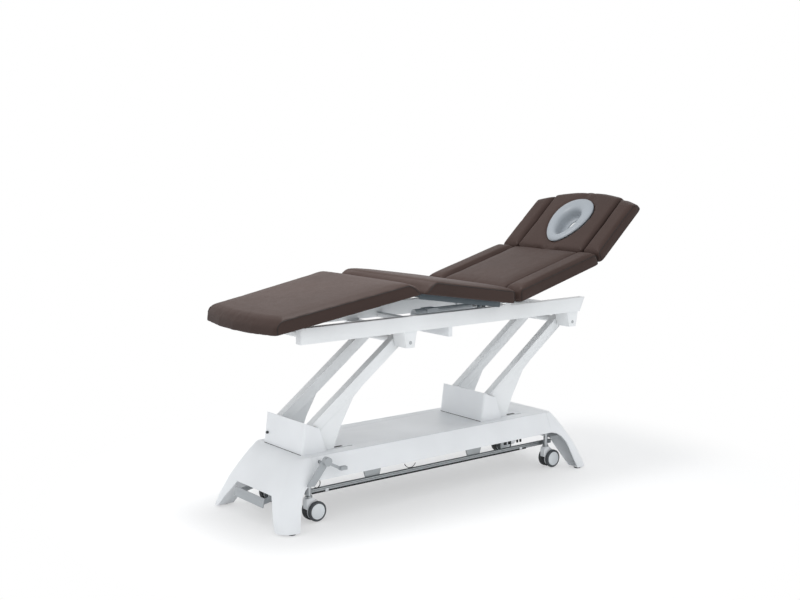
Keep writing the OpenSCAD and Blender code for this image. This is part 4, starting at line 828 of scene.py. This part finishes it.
class TABLE_OT_castors(PieceOperator, bpy.types.Operator):
    """Makes the twin wheels, hoods, fenders and stem collars of the castors"""
    bl_idname = "table.castors"
    bl_label = "Castors"

    def execute(self, context):
        for i in range(1, 5):
            axle = joint_at("castor_roll_%d" % i)
            stem = joint_at("castor_swivel_%d" % i)
            tyres, discs = [], []
            for s in (-1, 1):
                spot = Matrix.Translation(axle + Vector((0, s * WHEEL_PITCH / 2 * MM, 0)))
                place = spot @ Matrix.Rotation(-s * pi / 2, 4, "X")
                tyres.append(lathed("tyre", TYRE, place))
                discs.append(lathed("disc", DISC, place, 48))
            axle_place = Matrix.Translation(axle) @ Matrix.Rotation(pi / 2, 4, "X")
            discs.append(lathed("axle", AXLE, axle_place, 24))
            wheel = "wheel_%d" % i
            dress(joined("castor_tyres_%d" % i, tyres), wheel, "castor_tyre", ["castor_wheel_%d" % i])
            dress(joined("castor_discs_%d" % i, discs), wheel, "castor_tyre", finish="castor_disc")
            softened("castor_fork_%d" % i, 4.0)
            self.fender(i, axle)
            collar = lathed("castor_collar_%d" % i, COLLAR,
                            Matrix.Translation((stem.x, stem.y, COLLAR_Z * MM)), 40)
            dress(collar, "castor_lift", "bare_steel")
        return {"FINISHED"}

    def fender(self, i, axle):
        """The black guard that wraps round the low front edge of a castor's hood."""
        outline = FENDER_OUTER + FENDER_INNER
        n = len(outline)
        points = [(x, y, z) for y in (-FENDER_HALF_W, FENDER_HALF_W) for x, z in outline]
        quads = [(k, k + 1, n - 2 - k, n - 1 - k) for k in range(n // 2 - 1)]
        faces = [tuple(reversed(q)) for q in quads] + [tuple(n + v for v in q) for q in quads]
        faces += [(k, (k + 1) % n, n + (k + 1) % n, n + k) for k in range(n)]
        piece = new_piece("castor_fender_%d" % i, [Vector(p) * MM for p in points], faces,
                          Matrix.Translation(axle))
        face_outwards(piece)
        apply_modifier(piece, "BEVEL", width=1.4 * MM, segments=2, limit_method="ANGLE",
                       angle_limit=radians(40))
        smooth(piece, 40)
        dress(piece, "castor_%d" % i, "black_plastic")


# Wires beside the near bar, which are mirrored for the far one: its return spring and a hook
SPRING_WIRE = [(-585, -141, 158), (-582, -143, 140), (-590, -146, 128), (-604, -147, 124), (-612, -146, 130)]
HOOK_WIRE = [(-147, -146, 150), (-138, -147, 134), (-119, -148, 128), (-99, -148, 131), (-86, -146, 146)]
CLIPS_X = (-556, 538)


class TABLE_OT_foot_controls(PieceOperator, bpy.types.Operator):
    """Adds the bars' rubber strips, a black line painted as the shade in each bar's groove, clips and return
    springs
    """
    bl_idname = "table.foot_controls"
    bl_label = "Foot bars"

    def execute(self, context):
        strip = bar("strip", (-629, -151.4, 104.2), (573, -141, 111.2), 1.6)
        # The groove is a thin black line, painted shade where the bar's face dips in
        groove = bar("groove", (-655, -150.4, 118.4), (731, -149.2, 119.6), 0.3)
        clips = [bar("clip", (x - 8, -153.0, 106), (x + 8, -148.5, 118), 1.2) for x in CLIPS_X]
        wires = [rod("wire", SPRING_WIRE, 2.2), rod("wire", HOOK_WIRE, 1.6)]
        pieces = {"bar_strip": (strip, "black_rubber"), "bar_groove": (groove, "black_rubber"),
                  "bar_clips": (joined("clips", clips), "white_cover"),
                  "bar_springs": (joined("springs", wires), "black_plastic")}
        for name, (piece, slot) in pieces.items():
            twin = mirrored(piece)
            for side, item in (("near", piece), ("far", twin)):
                item.name = side + "_" + name
                dress(item, side + "_bar", slot)
        return {"FINISHED"}


# The slots on the base's top, as (where one begins, its length), and how far from the middle they lie
SLOTS = ((-504, 53), (483, 47))
SLOT_Y = 103
SLOT_W = 15
# The guide sleeves under the head end, as (where one begins, its width)
SLEEVES = ((472, 14), (500, 14), (552, 8), (572, 8))
KNOB = [(0, 0), (5, 0), (6, 1), (6, 7), (4.5, 9), (0, 9.5)]
KNOB_AT = Vector((-668, 120, 318)) * MM


class TABLE_OT_base_details(PieceOperator, bpy.types.Operator):
    """Adds the joint lines, slots, brackets, sensor knob and guide sleeves of the base"""
    bl_idname = "table.base_details"
    bl_label = "Base details"

    def execute(self, context):
        # Shadow gaps under the tower covers and along the base's top
        for end, x in (("foot", FOOT_PIVOT_X), ("head", HEAD_PIVOT_X)):
            gap = bar(end + "_tower_gap", (x - 71.0, -140, 271), (x - 69.2, 140, 273.6), 0.3)
            dress(gap, "base", "black_rubber")
        for side in (-1, 1):
            line = bar("cover_line", (-655, side * 186 - 0.7, 271.6), (655, side * 186 + 0.7, 272.25), 0.2)
            line.name = ("near" if side < 0 else "far") + "_cover_line"
            dress(line, "base", "frame_paint")
        # Slots beside the openings that the arms' lever plates dip into, as thin black strips that paint the shade
        # inside them
        slots = [bar("slot", (x, y, 271.6), (x + length, y + SLOT_W, 272.3), 0.2)
                 for x, length in SLOTS for y in (-SLOT_Y - SLOT_W, SLOT_Y)]
        dress(joined("cover_slots", slots), "base", "black_rubber")
        knob = lathed("tower_knob", KNOB,
                      BASE @ Matrix.Translation(KNOB_AT) @ Matrix.Rotation(-pi / 2, 4, "Y"), 32)
        dress(knob, "base", "black_plastic")
        for k, (x, w) in enumerate(SLEEVES, 1):
            post = bar("bracket_post_%d" % k, (x, -112, 128), (x + w, -104, 193), 1.2)
            dress(post, "base", "black_plastic")
        ties = [bar("tie", (472, -113, 150), (514, -105, 162), 1.2),
                bar("tie", (548, -113, 168), (584, -105, 176), 1)]
        dress(joined("bracket_ties", ties), "base", "black_plastic")
        block = bar("stem_block", (632, -150, 176.5), (664, -120, 191), 2)
        dress(block, "base", "frame_paint", finish="castor_tyre")
        return {"FINISHED"}


# The camera as fitted to the photo: its place in metres from the middle of the base, how far it dips and
# turns in degrees, its sensor in millimetres and its focal length as a share of the picture's width
CAMERA_AT = (-3.2564, -4.1148, 1.5302)
CAMERA_DIP = 7.5237
CAMERA_TURN = -37.8573
SENSOR_W = 36
FOCAL_SHARE = 1199.4 / 800


class TABLE_OT_stage(PieceOperator, bpy.types.Operator):
    """Makes the floor, the room light, the lamps and the camera"""
    bl_idname = "table.stage"
    bl_label = "Stage"

    def execute(self, context):
        stage = context.scene.table_stage
        bpy.ops.object.select_all(action="DESELECT")
        bpy.ops.mesh.primitive_plane_add(size=60, location=(0, 0, 0))
        floor = bpy.context.object
        floor.name = "floor"
        material, tree = new_material("pale_floor")
        # The floor keeps the table's shadow and fades to the white of the room further away
        rays = add_node(tree, "ShaderNodeLightPath", {})
        place = add_node(tree, "ShaderNodeTexCoord", {})
        away = add_node(tree, "ShaderNodeVectorMath", {"operation": "LENGTH"}, [(0, place, "Object")])
        fade = add_node(tree, "ShaderNodeMapRange",
                        {"From Min": stage.fade_start, "From Max": stage.fade_end, "To Min": stage.veil,
                         "interpolation_type": "SMOOTHSTEP"}, [("Value", away, "Value")])
        seen = add_node(tree, "ShaderNodeMath", {"operation": "MULTIPLY"},
                        [(0, fade, "Result"), (1, rays, "Is Camera Ray")])
        matt = add_node(tree, "ShaderNodeBsdfDiffuse", {"Color": linear(stage.floor)})
        white = add_node(tree, "ShaderNodeEmission", {"Color": (1, 1, 1, 1), "Strength": 1.0})
        mix = add_node(tree, "ShaderNodeMixShader", {}, [(0, seen, 0), (1, matt, 0), (2, white, 0)])
        add_node(tree, "ShaderNodeOutputMaterial", {}, [("Surface", mix, 0)])
        floor.data.materials.append(material)
        self.room(context, stage)
        self.lamp("key_lamp", spot=(-0.62, 0.1, 2.6), aim=(-0.72, 0, 0.8), size=0.7, power=stage.key)
        self.lamp("fill_lamp", spot=(-3.6, -2.4, 0.9), aim=(0, 0, 0.35), size=2.6, power=stage.fill)
        camera = bpy.data.objects.new("camera", bpy.data.cameras.new("camera"))
        context.scene.collection.objects.link(camera)
        camera.location = (BASE_X + CAMERA_AT[0], *CAMERA_AT[1:])
        camera.rotation_euler = (radians(90 - CAMERA_DIP), 0, radians(CAMERA_TURN))
        camera.data.sensor_width = SENSOR_W
        camera.data.lens = FOCAL_SHARE * SENSOR_W
        camera.data.clip_end = 100
        context.scene.camera = camera
        context.scene.view_settings.view_transform = "Standard"
        return {"FINISHED"}

    def room(self, context, stage):
        """Even light from all round, which the camera and the reflections see as white."""
        world = bpy.data.worlds.new("room")
        context.scene.world = world
        world.use_nodes = True
        tree = world.node_tree
        tree.nodes.clear()
        rays = add_node(tree, "ShaderNodeLightPath", {})
        through = add_node(tree, "ShaderNodeMath", {"operation": "MAXIMUM"},
                           [(0, rays, "Is Glossy Ray"), (1, rays, "Is Transmission Ray")])
        seen = add_node(tree, "ShaderNodeMath", {"operation": "MAXIMUM"},
                        [(0, rays, "Is Camera Ray"), (1, through, 0)])
        light = add_node(tree, "ShaderNodeBackground", {"Color": linear("#f8fafc"), "Strength": stage.sky})
        white = add_node(tree, "ShaderNodeBackground", {"Color": (1, 1, 1, 1), "Strength": 1.0})
        mix = add_node(tree, "ShaderNodeMixShader", {}, [(0, seen, 0), (1, light, 0), (2, white, 0)])
        add_node(tree, "ShaderNodeOutputWorld", {}, [("Surface", mix, 0)])

    def lamp(self, name, spot, aim, size, power):
        light = bpy.data.lights.new(name, "AREA")
        light.size = size
        light.energy = power
        obj = bpy.data.objects.new(name, light)
        bpy.context.scene.collection.objects.link(obj)
        obj.location = spot
        obj.rotation_euler = (Vector(aim) - Vector(spot)).to_track_quat("-Z", "Y").to_euler()


OPERATORS = (TABLE_OT_finishes, TABLE_OT_stage, TABLE_OT_cushions, TABLE_OT_face_insert, TABLE_OT_metalwork,
             TABLE_OT_castors, TABLE_OT_foot_controls, TABLE_OT_base_details)


class TABLE_PT_panel(bpy.types.Panel):
    """Lists the table's pieces in the sidebar"""
    bl_idname = "TABLE_PT_panel"
    bl_label = "Treatment table"
    bl_space_type = "VIEW_3D"
    bl_region_type = "UI"
    bl_category = "Treatment table"

    def draw(self, context):
        for group in (context.scene.table_looks, context.scene.table_stage):
            for key in group.__annotations__:
                self.layout.prop(group, key)
        for operator in OPERATORS:
            self.layout.operator(operator.bl_idname)


CLASSES = (TABLE_PG_looks, TABLE_PG_stage, *OPERATORS, TABLE_PT_panel)


def register():
    for item in CLASSES:
        bpy.utils.register_class(item)
    bpy.types.Scene.table_looks = bpy.props.PointerProperty(type=TABLE_PG_looks)
    bpy.types.Scene.table_stage = bpy.props.PointerProperty(type=TABLE_PG_stage)


def unregister():
    del bpy.types.Scene.table_stage
    del bpy.types.Scene.table_looks
    for item in reversed(CLASSES):
        bpy.utils.unregister_class(item)


def main():
    register()
    for operator in OPERATORS:
        group, name = operator.bl_idname.split(".")
        getattr(getattr(bpy.ops, group), name)()


if __name__ == "__main__":
    main()
